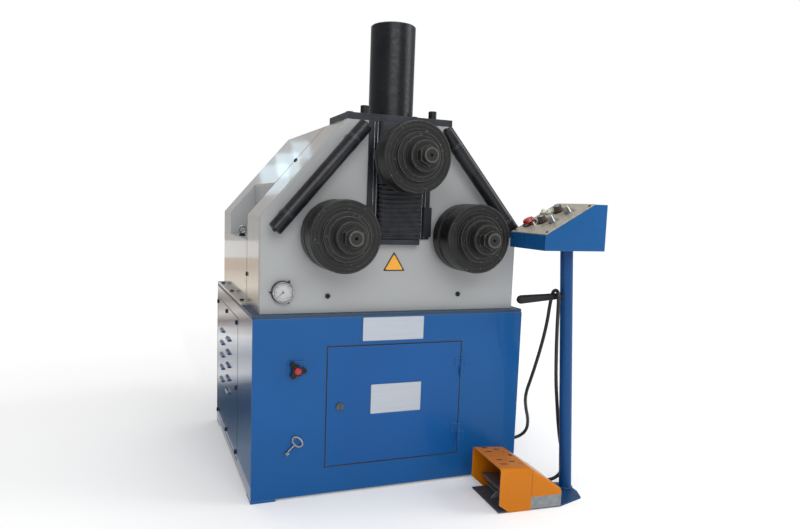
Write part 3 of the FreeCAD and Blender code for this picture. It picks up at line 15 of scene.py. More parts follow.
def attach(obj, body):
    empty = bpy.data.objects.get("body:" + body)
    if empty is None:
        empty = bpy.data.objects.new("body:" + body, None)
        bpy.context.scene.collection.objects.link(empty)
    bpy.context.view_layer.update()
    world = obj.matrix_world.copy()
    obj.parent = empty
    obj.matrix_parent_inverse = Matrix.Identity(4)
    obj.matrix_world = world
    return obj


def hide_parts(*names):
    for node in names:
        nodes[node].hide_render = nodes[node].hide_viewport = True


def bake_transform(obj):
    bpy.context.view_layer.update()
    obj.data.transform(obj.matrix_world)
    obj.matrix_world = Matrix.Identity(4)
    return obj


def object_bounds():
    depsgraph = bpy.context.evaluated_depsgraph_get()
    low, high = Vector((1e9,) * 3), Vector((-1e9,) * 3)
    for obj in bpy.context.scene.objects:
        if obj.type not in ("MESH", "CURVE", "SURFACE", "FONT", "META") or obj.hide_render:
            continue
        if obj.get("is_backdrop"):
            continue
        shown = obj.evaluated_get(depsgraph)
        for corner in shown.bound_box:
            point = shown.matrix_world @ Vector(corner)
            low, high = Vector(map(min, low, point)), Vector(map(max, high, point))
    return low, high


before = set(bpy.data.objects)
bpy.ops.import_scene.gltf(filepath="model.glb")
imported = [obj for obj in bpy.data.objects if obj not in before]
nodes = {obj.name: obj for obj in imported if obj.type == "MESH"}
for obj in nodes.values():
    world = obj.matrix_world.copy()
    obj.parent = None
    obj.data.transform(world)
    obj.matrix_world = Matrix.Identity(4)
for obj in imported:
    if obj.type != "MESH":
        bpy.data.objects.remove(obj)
frame_box = [list(corner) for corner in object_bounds()]
scene = bpy.context.scene

# %% [markdown]
# The camera comes first, because every later choice is judged through it. It could be aimed
# with a Track To constraint, but a fixed matrix from three angles also keeps a slight tilt. The
# lens is short, about 30 mm, so that edges running away come together clearly. The small shift
# moves the frame without turning the camera.

# %% Camera
CAMERA_YAW = math.radians(21.25)
CAMERA_PITCH = math.radians(-6.54)
CAMERA_ROLL = math.radians(1.99)
CAMERA_PLACE = Vector((-0.8269, -2.4742, 0.9549))
CAMERA_LENS = 30.05
CAMERA_SHIFT = (0.0141, 0.0230)
FAR_CLIP = 50


def camera_axes(yaw, pitch, roll):
    """Right, up and forward directions of a camera that looks along +Y at zero angles."""
    forward = Vector((math.sin(yaw) * math.cos(pitch), math.cos(yaw) * math.cos(pitch),
                      math.sin(pitch)))
    level = Vector((math.cos(yaw), -math.sin(yaw), 0))
    rise = level.cross(forward)
    right = math.cos(roll) * level + math.sin(roll) * rise
    up = math.cos(roll) * rise - math.sin(roll) * level
    return right, up, forward


def add_camera():
    data = bpy.data.cameras.new("view_camera")
    data.sensor_width = 36
    data.lens = CAMERA_LENS
    data.shift_x, data.shift_y = CAMERA_SHIFT
    data.clip_end = FAR_CLIP
    camera = bpy.data.objects.new("view_camera", data)
    scene.collection.objects.link(camera)
    right, up, forward = camera_axes(CAMERA_YAW, CAMERA_PITCH, CAMERA_ROLL)
    turn = Matrix((right, up, -forward)).transposed().to_4x4()
    camera.matrix_world = Matrix.Translation(CAMERA_PLACE) @ turn
    scene.camera = camera
    return camera


camera = add_camera()
print("camera lens", camera.data.lens)

# %% [markdown]
# The pedal's cable is the one limp piece. A cable hangs in one smooth line with no corners, so
# it is a NURBS curve whose control points follow the way it takes: out of the cabinet, up over
# the grip on the post, and down behind the post to the pedal. A mesh tube would need a path of
# its own. The thickness is given as each point's radius, which the curve's own box counts too.

# %% Pedal cable
CABLE_RADIUS = 0.006
CABLE_ROUTE = [
    (0.500, -0.345, 0.088), (0.546, -0.345, 0.088), (0.577, -0.368, 0.120),
    (0.567, -0.391, 0.174), (0.536, -0.415, 0.232), (0.512, -0.444, 0.290),
    (0.511, -0.479, 0.364), (0.508, -0.514, 0.441), (0.505, -0.544, 0.514),
    (0.500, -0.570, 0.584), (0.495, -0.586, 0.645), (0.492, -0.6035, 0.6965),
    (0.4905, -0.6365, 0.6965), (0.489, -0.642, 0.655), (0.491, -0.640, 0.598),
    (0.496, -0.635, 0.530), (0.505, -0.627, 0.462), (0.517, -0.615, 0.402),
    (0.532, -0.601, 0.350), (0.547, -0.590, 0.296), (0.558, -0.586, 0.234),
    (0.571, -0.587, 0.158), (0.593, -0.592, 0.074), (0.563, -0.5949, 0.024),
    (0.5177, -0.5921, 0.024),
]


def add_cable():
    data = bpy.data.curves.new("pedal_lead", "CURVE")
    data.dimensions = "3D"
    data.bevel_depth = 1
    data.bevel_resolution = 5
    data.resolution_u = 10
    data.use_fill_caps = True
    spline = data.splines.new("NURBS")
    spline.points.add(len(CABLE_ROUTE) - 1)
    for point, place in zip(spline.points, CABLE_ROUTE):
        point.co = (*place, 1)
        point.radius = CABLE_RADIUS
    spline.order_u = 3
    spline.use_endpoint_u = True
    lead = bpy.data.objects.new("pedal_lead", data)
    scene.collection.objects.link(lead)
    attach(lead, "base")
    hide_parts("pedal_cable")
    return lead


lead = add_cable()
print("cable control points", len(CABLE_ROUTE))

# %% [markdown]
# Every finish starts as a Principled shader with object coordinates. Object coordinates stay
# fixed to the metal when a part moves, while Generated ones stretch with each part's box. One
# helper makes a node: an input that is given a socket gets a wire, and any other value is typed
# in. Sharp edges are rounded off in the shader, which costs no faces.

# %% Nodes, colours and a plain finish
EDGE_RADIUS = 0.0012


def add_node(tree, kind, inputs, **settings):
    """New node whose inputs are wired to sockets or set to plain values."""
    node = tree.nodes.new(kind)
    for name, value in settings.items():
        setattr(node, name, value)
    for socket, value in inputs.items():
        if isinstance(value, bpy.types.NodeSocket):
            tree.links.new(value, node.inputs[socket])
        else:
            node.inputs[socket].default_value = value
    return node


def shade(red, green, blue):
    """Linear colour from the 0-255 numbers that a colour picker shows."""
    level = [c / 255 for c in (red, green, blue)]
    return tuple(c / 12.92 if c <= 0.04045 else ((c + 0.055) / 1.055) ** 2.4 for c in level) + (1,)


def dimmer(colour, share):
    return tuple(c * share for c in colour[:3]) + (1,)


def rounded(tree, width):
    """Normal of a surface whose sharp edges are rounded off."""
    return add_node(tree, "ShaderNodeBevel", {"Radius": width}, samples=4).outputs["Normal"]


def new_finish(name, **sockets):
    """Material, its node tree, its shader and its object coordinates."""
    material = bpy.data.materials.new(name)
    material.use_nodes = True
    tree = material.node_tree
    shader = tree.nodes["Principled BSDF"]
    for socket, value in sockets.items():
        shader.inputs[socket.replace("_", " ")].default_value = value
    tree.links.new(rounded(tree, EDGE_RADIUS), shader.inputs["Normal"])
    return material, tree, shader, tree.nodes.new("ShaderNodeTexCoord").outputs["Object"]


print("edges rounded by", EDGE_RADIUS, "m")

# %% [markdown]
# Nothing on a used machine is one even colour. Sprayed paint drifts a little, brushed metal
# carries lines, and dust gathers in spots. A noise stands for all of these: squashed one way it
# gives lines, made small it gives dust. Its useful range is then spread over two numbers or two
# colours. Images could do this too, but a noise has no seams and stays sharp from close by.

# %% Patterns
USEFUL = (0.35, 0.65)


def stretch(tree, place, scale, shift=(0, 0, 0)):
    return add_node(tree, "ShaderNodeMapping",
                    {"Vector": place, "Scale": scale, "Location": shift}).outputs["Vector"]


def noise(tree, place, scale, detail=3, lumps=0.5):
    return add_node(tree, "ShaderNodeTexNoise", {"Vector": place, "Scale": scale, "Detail": detail,
                                                 "Roughness": lumps}).outputs["Fac"]


def span(tree, value, low, high, start=USEFUL[0], end=USEFUL[1]):
    """Map a pattern's useful range onto two numbers."""
    return add_node(tree, "ShaderNodeMapRange", {
        "Value": value, "From Min": start, "From Max": end, "To Min": low, "To Max": high,
    }).outputs["Result"]


def two_tone(tree, value, dark, light, blend="MIX"):
    """Two colours or colour patterns, mixed by a value."""
    return add_node(tree, "ShaderNodeMix", {0: value, 6: dark, 7: light}, data_type="RGBA",
                    blend_type=blend).outputs[2]


print("a noise is spread from", USEFUL[0], "to", USEFUL[1])

# %% [markdown]
# A pattern can act on a finish in four ways: it shifts the colour, lets the gloss wander, raises
# or sinks the surface, or lightens sharp edges: paint thinned by hands and a painted highlight.
# Each way is one helper. Dents and worn edges could be modelled, but a bump costs no faces.

# %% Surfaces
WEAR_AND_GLINT_WIDTH = 0.0025


def paint_with(tree, shader, pattern, dark, light):
    """Let the colour wander between two tones."""
    tree.links.new(two_tone(tree, span(tree, pattern, 0, 1), dark, light),
                   shader.inputs["Base Color"])


def gloss_with(tree, shader, pattern, low, high):
    """Let the roughness wander between two numbers."""
    tree.links.new(span(tree, pattern, low, high), shader.inputs["Roughness"])


def relief(tree, shader, height, depth, strength=1.0):
    """Raise or sink the surface by a pattern; depth in metres."""
    bump = add_node(tree, "ShaderNodeBump", {
        "Strength": strength, "Distance": depth, "Height": height,
        "Normal": shader.inputs["Normal"].links[0].from_socket})
    tree.links.new(bump.outputs["Normal"], shader.inputs["Normal"])


def wear_and_glint_edges(tree, shader, colour, strength):
    """Lighten sharp edges, where rounded and flat normals differ: worn paint plus a painted
    highlight.
    """
    flat = tree.nodes.new("ShaderNodeNewGeometry").outputs["Normal"]
    match = add_node(tree, "ShaderNodeVectorMath", {0: rounded(tree, WEAR_AND_GLINT_WIDTH), 1: flat},
                     operation="DOT_PRODUCT")
    # lighter towards sharp edges: worn paint and a painted edge highlight
    wear_and_glint = span(tree, match.outputs["Value"], strength, 0, 0.75, 0.98)
    paint = shader.inputs["Base Color"].links[0].from_socket
    tree.links.new(two_tone(tree, wear_and_glint, paint, colour), shader.inputs["Base Color"])


print("edges worn over", WEAR_AND_GLINT_WIDTH, "m")

# %% [markdown]
# The sheet metal is sprayed with glossy two-pack enamel. Real enamel is a colour under a clear
# layer, with a fine orange-peel texture and a little dust, so the shader gets a clear coat, a
# cloudy colour and a shallow bump. At a grazing angle the coat turns the sides nearly into
# mirrors, which no painted-in gradient could do from every side.

# %% Enamel
ORANGE_PEEL = 0.00004
SHEET_WAVE = 0.0012


def enamel(name, colour, rough, coat=0.12, cloud=0.05, peel=ORANGE_PEEL, dust=0.1):
    material, tree, shader, place = new_finish(
        name, Coat_Weight=coat, Coat_Roughness=0.06, Coat_IOR=1.5, Specular_IOR_Level=0.16)
    paint_with(tree, shader, noise(tree, place, 2.4), dimmer(colour, 1 - cloud),
               dimmer(colour, 1 + cloud))
    gloss_with(tree, shader, noise(tree, place, 55, 6, 0.65), rough - dust * 0.6, rough + dust)
    if peel:
        relief(tree, shader, noise(tree, place, 240, 2), peel)
    relief(tree, shader, noise(tree, place, 5, 2), SHEET_WAVE, 0.35)
    # lighter edges: worn paint and a painted edge highlight
    wear_and_glint_edges(tree, shader, tuple(c * 0.5 + 0.3 for c in colour[:3]) + (1,), 0.35)
    return material


def side_enamel(name, colour):
    """Thicker coat on the big side panels, smooth enough to mirror the room."""
    return enamel(name, colour, rough=0.26, coat=0.7, cloud=0.07, peel=0, dust=0.01)


blue_front = enamel("cabinet_blue", shade(15, 79, 138), 0.34)
# The sides take a darker copy of the front's blue: painted shade on the side panels.
shaded_blue_side = side_enamel("shaded_side_blue", shade(16, 67, 117))
blue_door = enamel("door_blue", shade(14, 78, 140), 0.34)
blue_deck = enamel("deck_blue", shade(44, 66, 92), 0.45)
blue_desk = enamel("desk_blue", shade(18, 78, 132), 0.32)
blue_post = enamel("post_blue", shade(14, 66, 118), 0.36)
grey_face = enamel("housing_grey", shade(158, 160, 161), 0.42, cloud=0.02)
# A darker, warmer copy of the housing grey for its sides: painted shade and a painted tan
# reflection.
shaded_grey_side = side_enamel("shaded_side_grey", shade(156, 150, 142))
orange_guard = enamel("guard_orange", shade(190, 110, 6), 0.3, cloud=0.04)
print("nodes in the front's blue", len(blue_front.node_tree.nodes))

# %% [markdown]
# The press, the slides and the bars wear a thin satin black. It picks up finger marks and dust,
# so its roughness wanders at two scales and a faint bluish bloom lies on it. Pure black would
# swallow the shape; real black paint still returns a few percent of the light.

# %% Satin black
def satin_black(name, low, high, rough=0.42, coat=0.0, grain=300, depth=0.00002):
    material, tree, shader, place = new_finish(name, Coat_Weight=coat, Coat_Roughness=0.12,
                                               Specular_IOR_Level=0.22)
    paint_with(tree, shader, noise(tree, place, 14, 5, 0.6), low, high)
    gloss_with(tree, shader, noise(tree, place, 90, 6, 0.7), rough - 0.08, rough + 0.14)
    relief(tree, shader, noise(tree, place, grain, 2), depth)
    wear_and_glint_edges(tree, shader, shade(92, 94, 98), 0.6)
    return material


black_paint = satin_black("black_paint", shade(38, 40, 47), shade(54, 57, 64))
black_barrel = satin_black("cylinder_black", shade(13, 15, 19), shade(21, 24, 28), rough=0.3)
black_bar = satin_black("bar_black", shade(22, 22, 26), shade(34, 35, 40), rough=0.3, coat=0.1)
black_screw = satin_black("black_screw", shade(14, 14, 16), shade(30, 30, 33), rough=0.4)
black_moulded = satin_black("black_plastic", shade(18, 18, 20), shade(30, 30, 33), rough=0.5,
                            grain=900, depth=0.00006)
black_switch = satin_black("switch_black", shade(16, 16, 18), shade(28, 28, 31), rough=0.25,
                           grain=900, depth=0.00003)
print("nodes in the black paint", len(black_paint.node_tree.nodes))

# %% [markdown]
# The rolls are turned and then blackened in oil, so a lathe's rings catch the light in circles.
# The rings need the distance from each roll's own axis: object coordinates are centred on the
# axis, flattened along it, and their length drives a one-dimensional noise. An image could not
# stay sharp this close, and a wave texture would look too regular.

# %% Turned steel
AXES = {"left": (-0.225, 0.8595), "right": (0.225, 0.8595), "top": (0.0, 1.1086),
        "drive": (0.0, 0.8595)}
ROLLS = ("left", "right", "top")
GEARS = ("left", "right", "drive")


def reach_from(tree, place, axis):
    """Distance from an axis that runs along Y."""
    centred = stretch(tree, place, (1, 0, 1), (-axis[0], 0, -axis[1]))
    return add_node(tree, "ShaderNodeVectorMath", {0: centred}, operation="LENGTH").outputs["Value"]


def ring_noise(tree, reach, scale):
    return add_node(tree, "ShaderNodeTexNoise", {"W": reach, "Scale": scale, "Detail": 4},
                    noise_dimensions="1D").outputs["Fac"]


def turned_steel(name, axis, dark, light, rough, metal, depth):
    material, tree, shader, place = new_finish(name, Metallic=metal, Specular_IOR_Level=0.38)
    reach = reach_from(tree, place, axis)
    rings = ring_noise(tree, reach, 160)
    ringed = two_tone(tree, span(tree, rings, 0, 1, 0.3, 0.7), dark, light)
    stain = two_tone(tree, span(tree, noise(tree, place, 16, 6, 0.65), 0, 1),
                     shade(165, 160, 150), shade(255, 255, 255))
    washed = two_tone(tree, 0.7, ringed, stain, "MULTIPLY")
    chips = span(tree, noise(tree, place, 190, 2), 0, 0.8, 0.70, 0.74)
    tree.links.new(two_tone(tree, chips, washed, shade(118, 118, 116)),
                   shader.inputs["Base Color"])
    tree.links.new(span(tree, rings, rough - 0.08, rough + 0.1, 0.3, 0.7),
                   shader.inputs["Roughness"])
    relief(tree, shader, ring_noise(tree, reach, 520), depth * 0.5)
    relief(tree, shader, rings, depth)
    wear_and_glint_edges(tree, shader, shade(132, 132, 130), 0.7)
    return material


roll_finishes = {side: turned_steel(side + "_roll_black", AXES[side], shade(18, 18, 19),
                                    shade(36, 36, 35), 0.4, 0.15, 0.0002) for side in ROLLS}
gear_finishes = {side: turned_steel(side + "_gear_steel", AXES[side], shade(96, 96, 98),
                                    shade(138, 138, 140), 0.35, 0.9, 0.00005) for side in GEARS}
print("turned finishes", len(roll_finishes) + len(gear_finishes))

# %% [markdown]
# The shafts end in a threaded tip with a centre hole. From the front only the tip shows: a dark
# disc with one bright ring near its edge, a painted highlight of the chamfer. A colour ramp over
# the same axis distance paints the hole's shade, face, highlight ring and thread, so all three
# tips match.

# %% Shaft tips
SHAFT_RADIUS = 0.03
# black centre: painted shade of the hole; 84 and 92: the painted highlight ring
SHAFT_BANDS_AND_GLINT = ((0.10, (6, 6, 6)), (0.16, (42, 42, 42)), (0.58, (46, 46, 42)),
               (0.65, (84, 84, 80)), (0.70, (92, 92, 88)), (0.76, (48, 48, 44)),
               (0.95, (42, 42, 38)))


def colour_ramp(tree, value, stops):
    """Colour that follows a value through (position, colour) stops in rising order."""
    ramp = add_node(tree, "ShaderNodeValToRGB", {"Fac": value})
    elements = ramp.color_ramp.elements
    while len(elements) < len(stops):
        elements.new(0.5)
    for element, (position, colour) in zip(elements, stops):
        element.position = position
        element.color = colour
    return ramp.outputs["Color"]


def shaft_finish(name, axis):
    material, tree, shader, place = new_finish(name, Metallic=0.55)
    reach = reach_from(tree, place, axis)
    bands = colour_ramp(tree, span(tree, reach, 0, 1, 0, SHAFT_RADIUS),
                        [(position, shade(*level)) for position, level in SHAFT_BANDS_AND_GLINT])
    tree.links.new(bands, shader.inputs["Base Color"])
    gloss_with(tree, shader, ring_noise(tree, reach, 400), 0.25, 0.42)
    relief(tree, shader, ring_noise(tree, reach, 900), 0.00008)
    return material


shaft_finishes = {side: shaft_finish(side + "_shaft_steel", AXES[side]) for side in ROLLS}
print("shaft finishes", len(shaft_finishes))

# %% [markdown]
# Bare and plated metals are brushed: fine lines along one direction. A noise stretched forty
# times along that direction gives both the colour lines and the roughness lines.

# %% Brushed and plated metal
def brushed(name, dark, light, rough, metal, along=(1, 40, 40), scale=9, depth=0.00003):
    material, tree, shader, place = new_finish(name, Metallic=metal)
    lines = noise(tree, stretch(tree, place, along), scale, 5, 0.7)
    paint_with(tree, shader, lines, dark, light)
    gloss_with(tree, shader, lines, rough - 0.06, rough + 0.08)
    relief(tree, shader, lines, depth)
    return material


zinc = brushed("inner_zinc", shade(150, 152, 154), shade(186, 188, 190), 0.45, 0.6,
               (12, 14, 12), 3)
bearing = brushed("bearing_steel", shade(70, 70, 72), shade(104, 104, 106), 0.35, 0.7)
bezel = brushed("gauge_steel", shade(120, 122, 126), shade(188, 190, 194), 0.2, 0.9)
chrome = brushed("chrome_rod", shade(186, 188, 192), shade(224, 226, 230), 0.12, 1.0, (30, 30, 2))
panel_face = brushed("panel_silver", shade(158, 150, 135), shade(192, 186, 172), 0.34, 0.35,
                     (3, 30, 30), 5)
plate_face = brushed("sign_plate", shade(168, 174, 183), shade(176, 182, 190), 0.4, 0.1,
                     (1, 30, 30), 7, 0.00001)
key_metal = brushed("key_nickel", shade(70, 72, 74), shade(186, 188, 190), 0.25, 0.9)
lock_face = brushed("lock_steel", shade(60, 61, 64), shade(100, 102, 106), 0.32, 0.7)
rail_finish = brushed("rail_black", shade(20, 21, 26), shade(34, 36, 42), 0.35, 0.2, (30, 30, 1))
bar_ring = brushed("bar_ring", shade(64, 66, 72), shade(104, 106, 112), 0.3, 0.5)
land_bright = brushed("ground_land", shade(120, 124, 132), shade(186, 190, 198), 0.25, 0.8,
                      (40, 40, 1))
pedal_cast = brushed("pedal_grey", shade(116, 120, 124), shade(140, 144, 147), 0.5, 0.2,
                     (10, 10, 10), 6)
tread_plate = brushed("treadle_grey", shade(96, 98, 102), shade(122, 124, 128), 0.38, 0.4,
                      (4, 30, 30), 6)
print("nodes in the chrome", len(chrome.node_tree.nodes))

# %% [markdown]
# The stand's floor plate is blue around the post, but worn to dark bare steel where the pedal
# stands and feet slide over it. The worn border follows the distance along the plate, broken up
# by noise, so it looks scuffed. The plate keeps one finish with two looks mixed by that border.

# %% Worn floor plate
PAINT_FROM, PAINT_TO = 0.462, 0.472


def worn_plate():
    material, tree, shader, place = new_finish("floor_plate", Specular_IOR_Level=0.3)
    along = add_node(tree, "ShaderNodeSeparateXYZ", {"Vector": place}).outputs["X"]
    scuff = span(tree, noise(tree, place, 22, 6, 0.7), -0.02, 0.02)
    border = add_node(tree, "ShaderNodeMath", {0: along, 1: scuff}, operation="ADD").outputs[0]
    bare = noise(tree, stretch(tree, place, (6, 30, 6)), 6, 5, 0.7)
    steel = two_tone(tree, span(tree, bare, 0, 1), shade(56, 58, 66), shade(86, 90, 98))
    painted = span(tree, border, 0, 1, PAINT_FROM, PAINT_TO)
    tree.links.new(two_tone(tree, painted, steel, shade(22, 62, 104)),
                   shader.inputs["Base Color"])
    gloss_with(tree, shader, bare, 0.3, 0.5)
    relief(tree, shader, bare, 0.0001)
    return material


base_plate = worn_plate()
print("paint starts", PAINT_FROM, "m to the right")

# %% [markdown]
# The drive inside is cast iron with hammered enamel, the bellows and the cable are rubber, and
# the buttons are moulded plastic. Rubber has a fine grain and a dusty bloom in its folds;
# plastic is smooth with a soft gloss.

# %% Cast, rubber and plastic
def cast_paint(name, colour):
    material, tree, shader, place = new_finish(name, Coat_Weight=0.3)
    cells = noise(tree, place, 120, 1)
    paint_with(tree, shader, cells, dimmer(colour, 0.8), dimmer(colour, 1.15))
    gloss_with(tree, shader, cells, 0.32, 0.5)
    relief(tree, shader, cells, 0.0006)
    return material


def rubber(name, dark, light, rough):
    material, tree, shader, place = new_finish(name, Sheen_Weight=0.15, Specular_IOR_Level=0.4)
    bloom = noise(tree, place, 40, 5, 0.7)
    paint_with(tree, shader, bloom, dark, light)
    gloss_with(tree, shader, bloom, rough - 0.1, rough + 0.12)
    relief(tree, shader, noise(tree, place, 1400, 2), 0.00005)
    return material


def moulded(name, colour, rough, change=0.06):
    material, tree, shader, place = new_finish(name, Coat_Weight=0.15, Coat_Roughness=0.1)
    flow = noise(tree, place, 70, 3)
    paint_with(tree, shader, flow, dimmer(colour, 1 - change), dimmer(colour, 1 + change))
    gloss_with(tree, shader, flow, rough - 0.05, rough + 0.06)
    relief(tree, shader, noise(tree, place, 1200, 2), 0.00002)
    return material


motor_paint = cast_paint("motor_grey", shade(92, 98, 104))
tank_paint = cast_paint("tank_grey", shade(128, 134, 138))
bellows_skin = rubber("bellows_rubber", shade(22, 23, 28), shade(40, 42, 48), 0.42)
cable_skin = rubber("cable_rubber", shade(14, 14, 15), shade(28, 28, 30), 0.45)
stop_red = moulded("stop_red", shade(158, 20, 26), 0.28)
lamp_lens = moulded("lamp_white", shade(206, 208, 190), 0.22)
dial_knob = moulded("dial_black", shade(70, 58, 48), 0.42, 0.2)
selector_cap = moulded("selector_grey", shade(112, 112, 110), 0.4, 0.12)
white_mark = moulded("white_mark", shade(238, 238, 234), 0.35, 0.02)
amber = moulded("sign_amber", shade(226, 158, 40), 0.4, 0.04)
sign_edge = moulded("sign_edge", shade(34, 26, 20), 0.4, 0.1)
gauge_white = moulded("gauge_white", shade(176, 178, 180), 0.35, 0.02)
# Painted shade: dark orange for the guard's fold and near-black for its open slots.
fold_shadow = moulded("fold_shadow", shade(120, 58, 12), 0.5, 0.1)
slot_shade_black = moulded("slot_shade_black", shade(8, 8, 9), 0.9, 0.05)
print("materials so far", len(bpy.data.materials))

# %% [markdown]
# Each frame node now gets its finish. A table by node keeps the choice in one place; nodes whose
# finish depends on an axis take it from the sets above.

# %% Dress the frame nodes
NODE_FINISH = {
    "cabinet_shell": shaded_blue_side, "cabinet_front": blue_front, "cabinet_deck": blue_deck,
    "cabinet_floor": zinc, "anchor_feet": blue_front, "vent_covers": shaded_blue_side,
    "front_plate": grey_face, "housing_shell": shaded_grey_side, "shoulder_pockets": grey_face,
    "rear_casing": shaded_grey_side, "rear_hatch": shaded_grey_side, "roll_bearings": bearing,
    "top_plate": black_paint, "top_plate_bolts": black_screw, "press_cylinder": black_barrel,
    "guide_rails": rail_finish, "bellows": bellows_skin, "bellows_base": black_paint,
    "guide_bars": black_bar, "gauge_case": bezel, "gauge_needle": black_screw,
    "gear_motor": motor_paint, "oil_unit": tank_paint, "stand_base": base_plate,
    "stand_post": blue_post, "cable_hook": black_moulded, "desk_box": blue_desk,
    "desk_panel": panel_face, "lamps": lamp_lens, "stop_button": stop_red, "pedal_base": pedal_cast,
    "pedal_guard": orange_guard, "pedal_cable": cable_skin, "cable_glands": black_moulded,
    "door_panel": blue_door, "door_lock": lock_face, "switch_base": blue_front,
    "switch_knob": black_switch, "key": key_metal, "ram_block": black_paint, "piston_rod": chrome,
    "near_treadle": tread_plate, "far_treadle": tread_plate, "front_dial": dial_knob,
    "rear_dial": dial_knob, "front_selector": selector_cap, "rear_selector": selector_cap,
    "drive_gear": gear_finishes["drive"], "left_gear": gear_finishes["left"],
    "right_gear": gear_finishes["right"],
}
for side in ROLLS:
    NODE_FINISH[side + "_discs"] = roll_finishes[side]
    NODE_FINISH[side + "_nut"] = roll_finishes[side]
    NODE_FINISH[side + "_shaft"] = shaft_finishes[side]


def paint_over(obj, material):
    if not obj.material_slots:
        obj.data.materials.append(material)
    for held in obj.material_slots:
        held.material = material


for node, material in NODE_FINISH.items():
    paint_over(nodes[node], material)
paint_over(lead, cable_skin)
print("nodes without a finish", sorted(set(nodes) - set(NODE_FINISH)))

# %% [markdown]
# Small round pieces, such as rings, caps and screw heads, are all made the same way: a
# half-section is turned round an axis, as on a lathe. The other small pieces are blocks with
# softened edges. Spin and Bevel modifiers could do both, but a mesh drawn point by point needs
# nothing applied afterwards.

# %% Turning and cutting
UP = (0, 0, 1)
FRONT = (0, -1, 0)
STEPS = 48


def lathe(work, section, place, axis, steps=STEPS, flats=()):
    """Turn (radius, height) pairs round an axis; rows named in flats come out six-sided."""
    turn = Vector(axis).to_track_quat("Z", "Y").to_matrix()
    rows = []
    for number, (radius, height) in enumerate(section):
        if radius == 0:
            rows.append([work.verts.new(Vector(place) + turn @ Vector((0, 0, height)))] * steps)
            continue
        row = []
        for step in range(steps):
            angle = math.tau * step / steps
            reach = radius
            if number in flats:
                reach *= math.cos(math.pi / 6) / math.cos(angle % (math.pi / 3) - math.pi / 6)
            spot = Vector((reach * math.cos(angle), reach * math.sin(angle), height))
            row.append(work.verts.new(Vector(place) + turn @ spot))
        rows.append(row)
    for low, high in zip(rows, rows[1:]):
        for step in range(steps):
            corners = list(dict.fromkeys((low[step - 1], low[step], high[step], high[step - 1])))
            if len(corners) > 2:
                work.faces.new(corners)


def ring(work, inner, outer, thick, place, axis, steps=STEPS):
    """A flat ring with softened edges."""
    soft = min(thick, outer - inner) * 0.25
    section = [(inner, 0), (inner, thick - soft), (inner + soft, thick), (outer - soft, thick),
               (outer, thick - soft), (outer, 0), (inner, 0)]
    lathe(work, section, place, axis, steps)


def block(work, low, high, place=Matrix.Identity(4), soft=0.0):
    """A box between two corners, with its edges rounded off, carried by a matrix."""
    size = [b - a for a, b in zip(low, high)]
    middle = [(a + b) / 2 for a, b in zip(low, high)]
    made = bmesh.ops.create_cube(work, size=1, matrix=Matrix.LocRotScale(middle, None, size))
    if soft:
        edges = list({e for v in made["verts"] for e in v.link_edges})
        made = bmesh.ops.bevel(work, geom=edges, offset=soft, segments=2, profile=0.5,
                               affect="EDGES")
    for vert in set(made["verts"]):
        vert.co = place @ vert.co


print("a full circle has", STEPS, "steps")

# %% [markdown]
# A drawing becomes a piece once its seams are closed, its faces point outward, its soft shading
# stops at sharp edges, and it rides on the body that it is screwed to. These helpers do that the
# same way for every piece and tell how many faces it has. Done by hand, one forgotten step would
# show as a dark or torn face.

# %% Finishing small pieces
SHARP_FROM = math.radians(35)


def mesh_of(work, name):
    """Turn a drawing into a mesh and let go of the drawing."""
    mesh = bpy.data.meshes.new(name)
    work.to_mesh(mesh)
    work.free()
    return mesh


def finish_piece(mesh, name, body, material):
    """Shade a mesh softly, give it its finish and let it ride on its body."""
    mesh.polygons.foreach_set("use_smooth", [True] * len(mesh.polygons))
    mesh.set_sharp_from_angle(angle=SHARP_FROM)
    mesh.materials.clear()
    mesh.materials.append(material)
    piece = bpy.data.objects.new(name, mesh)
    scene.collection.objects.link(piece)
    if body:
        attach(piece, body)
    return piece


def piece_from(work, name, body, material):
    """Close the seams, face everything outward and make it one piece on its body."""
    bmesh.ops.remove_doubles(work, verts=work.verts, dist=1e-6)
    bmesh.ops.recalc_face_normals(work, faces=work.faces)
    return finish_piece(mesh_of(work, name), name, body, material)


def turned(name, body, material, section, place, axis=FRONT, steps=STEPS):
    """One turned piece, finished."""
    work = bmesh.new()
    lathe(work, section, place, axis, steps)
    return piece_from(work, name, body, material)


def boxes(name, body, material, corners, place=Matrix.Identity(4), soft=0.0001):
    """One piece made of blocks, each given by its two corners."""
    work = bmesh.new()
    for low, high in corners:
        block(work, low, high, place, soft)
    return piece_from(work, name, body, material)


def tell(*pieces):
    for piece in pieces:
        print(piece.name, len(piece.data.polygons), "faces")


print("edges stay sharp from", round(math.degrees(SHARP_FROM)), "degrees")

# %% [markdown]
# Many small things repeat: screws, the gauge's marks and the bellows' folds. Geometry Nodes put
# one pattern piece on many places and keep it editable. Copies could be made in a loop instead,
# but then one change to the head would mean changing every copy. Each tree here is built in
# code, run once, and its result is kept as a plain mesh.

# %% Geometry Nodes helpers
def new_tree(name, **inputs):
    """A node group with a geometry input, named inputs and a geometry output."""
    tree = bpy.data.node_groups.new(name, "GeometryNodeTree")
    tree.interface.new_socket("Geometry", in_out="INPUT", socket_type="NodeSocketGeometry")
    for label, kind in inputs.items():
        tree.interface.new_socket(label, in_out="INPUT", socket_type="NodeSocket" + kind)
    tree.interface.new_socket("Geometry", in_out="OUTPUT", socket_type="NodeSocketGeometry")
    return tree, tree.nodes.new("NodeGroupInput").outputs, tree.nodes.new("NodeGroupOutput")


def close_tree(tree, geometry, given, out):
    """Make the copies real, give them their finish and end the tree."""
    real = add_node(tree, "GeometryNodeRealizeInstances", {"Geometry": geometry})
    dress = add_node(tree, "GeometryNodeSetMaterial", {"Geometry": real.outputs[0],
                                                       "Material": given["Material"]})
    tree.links.new(dress.outputs[0], out.inputs[0])


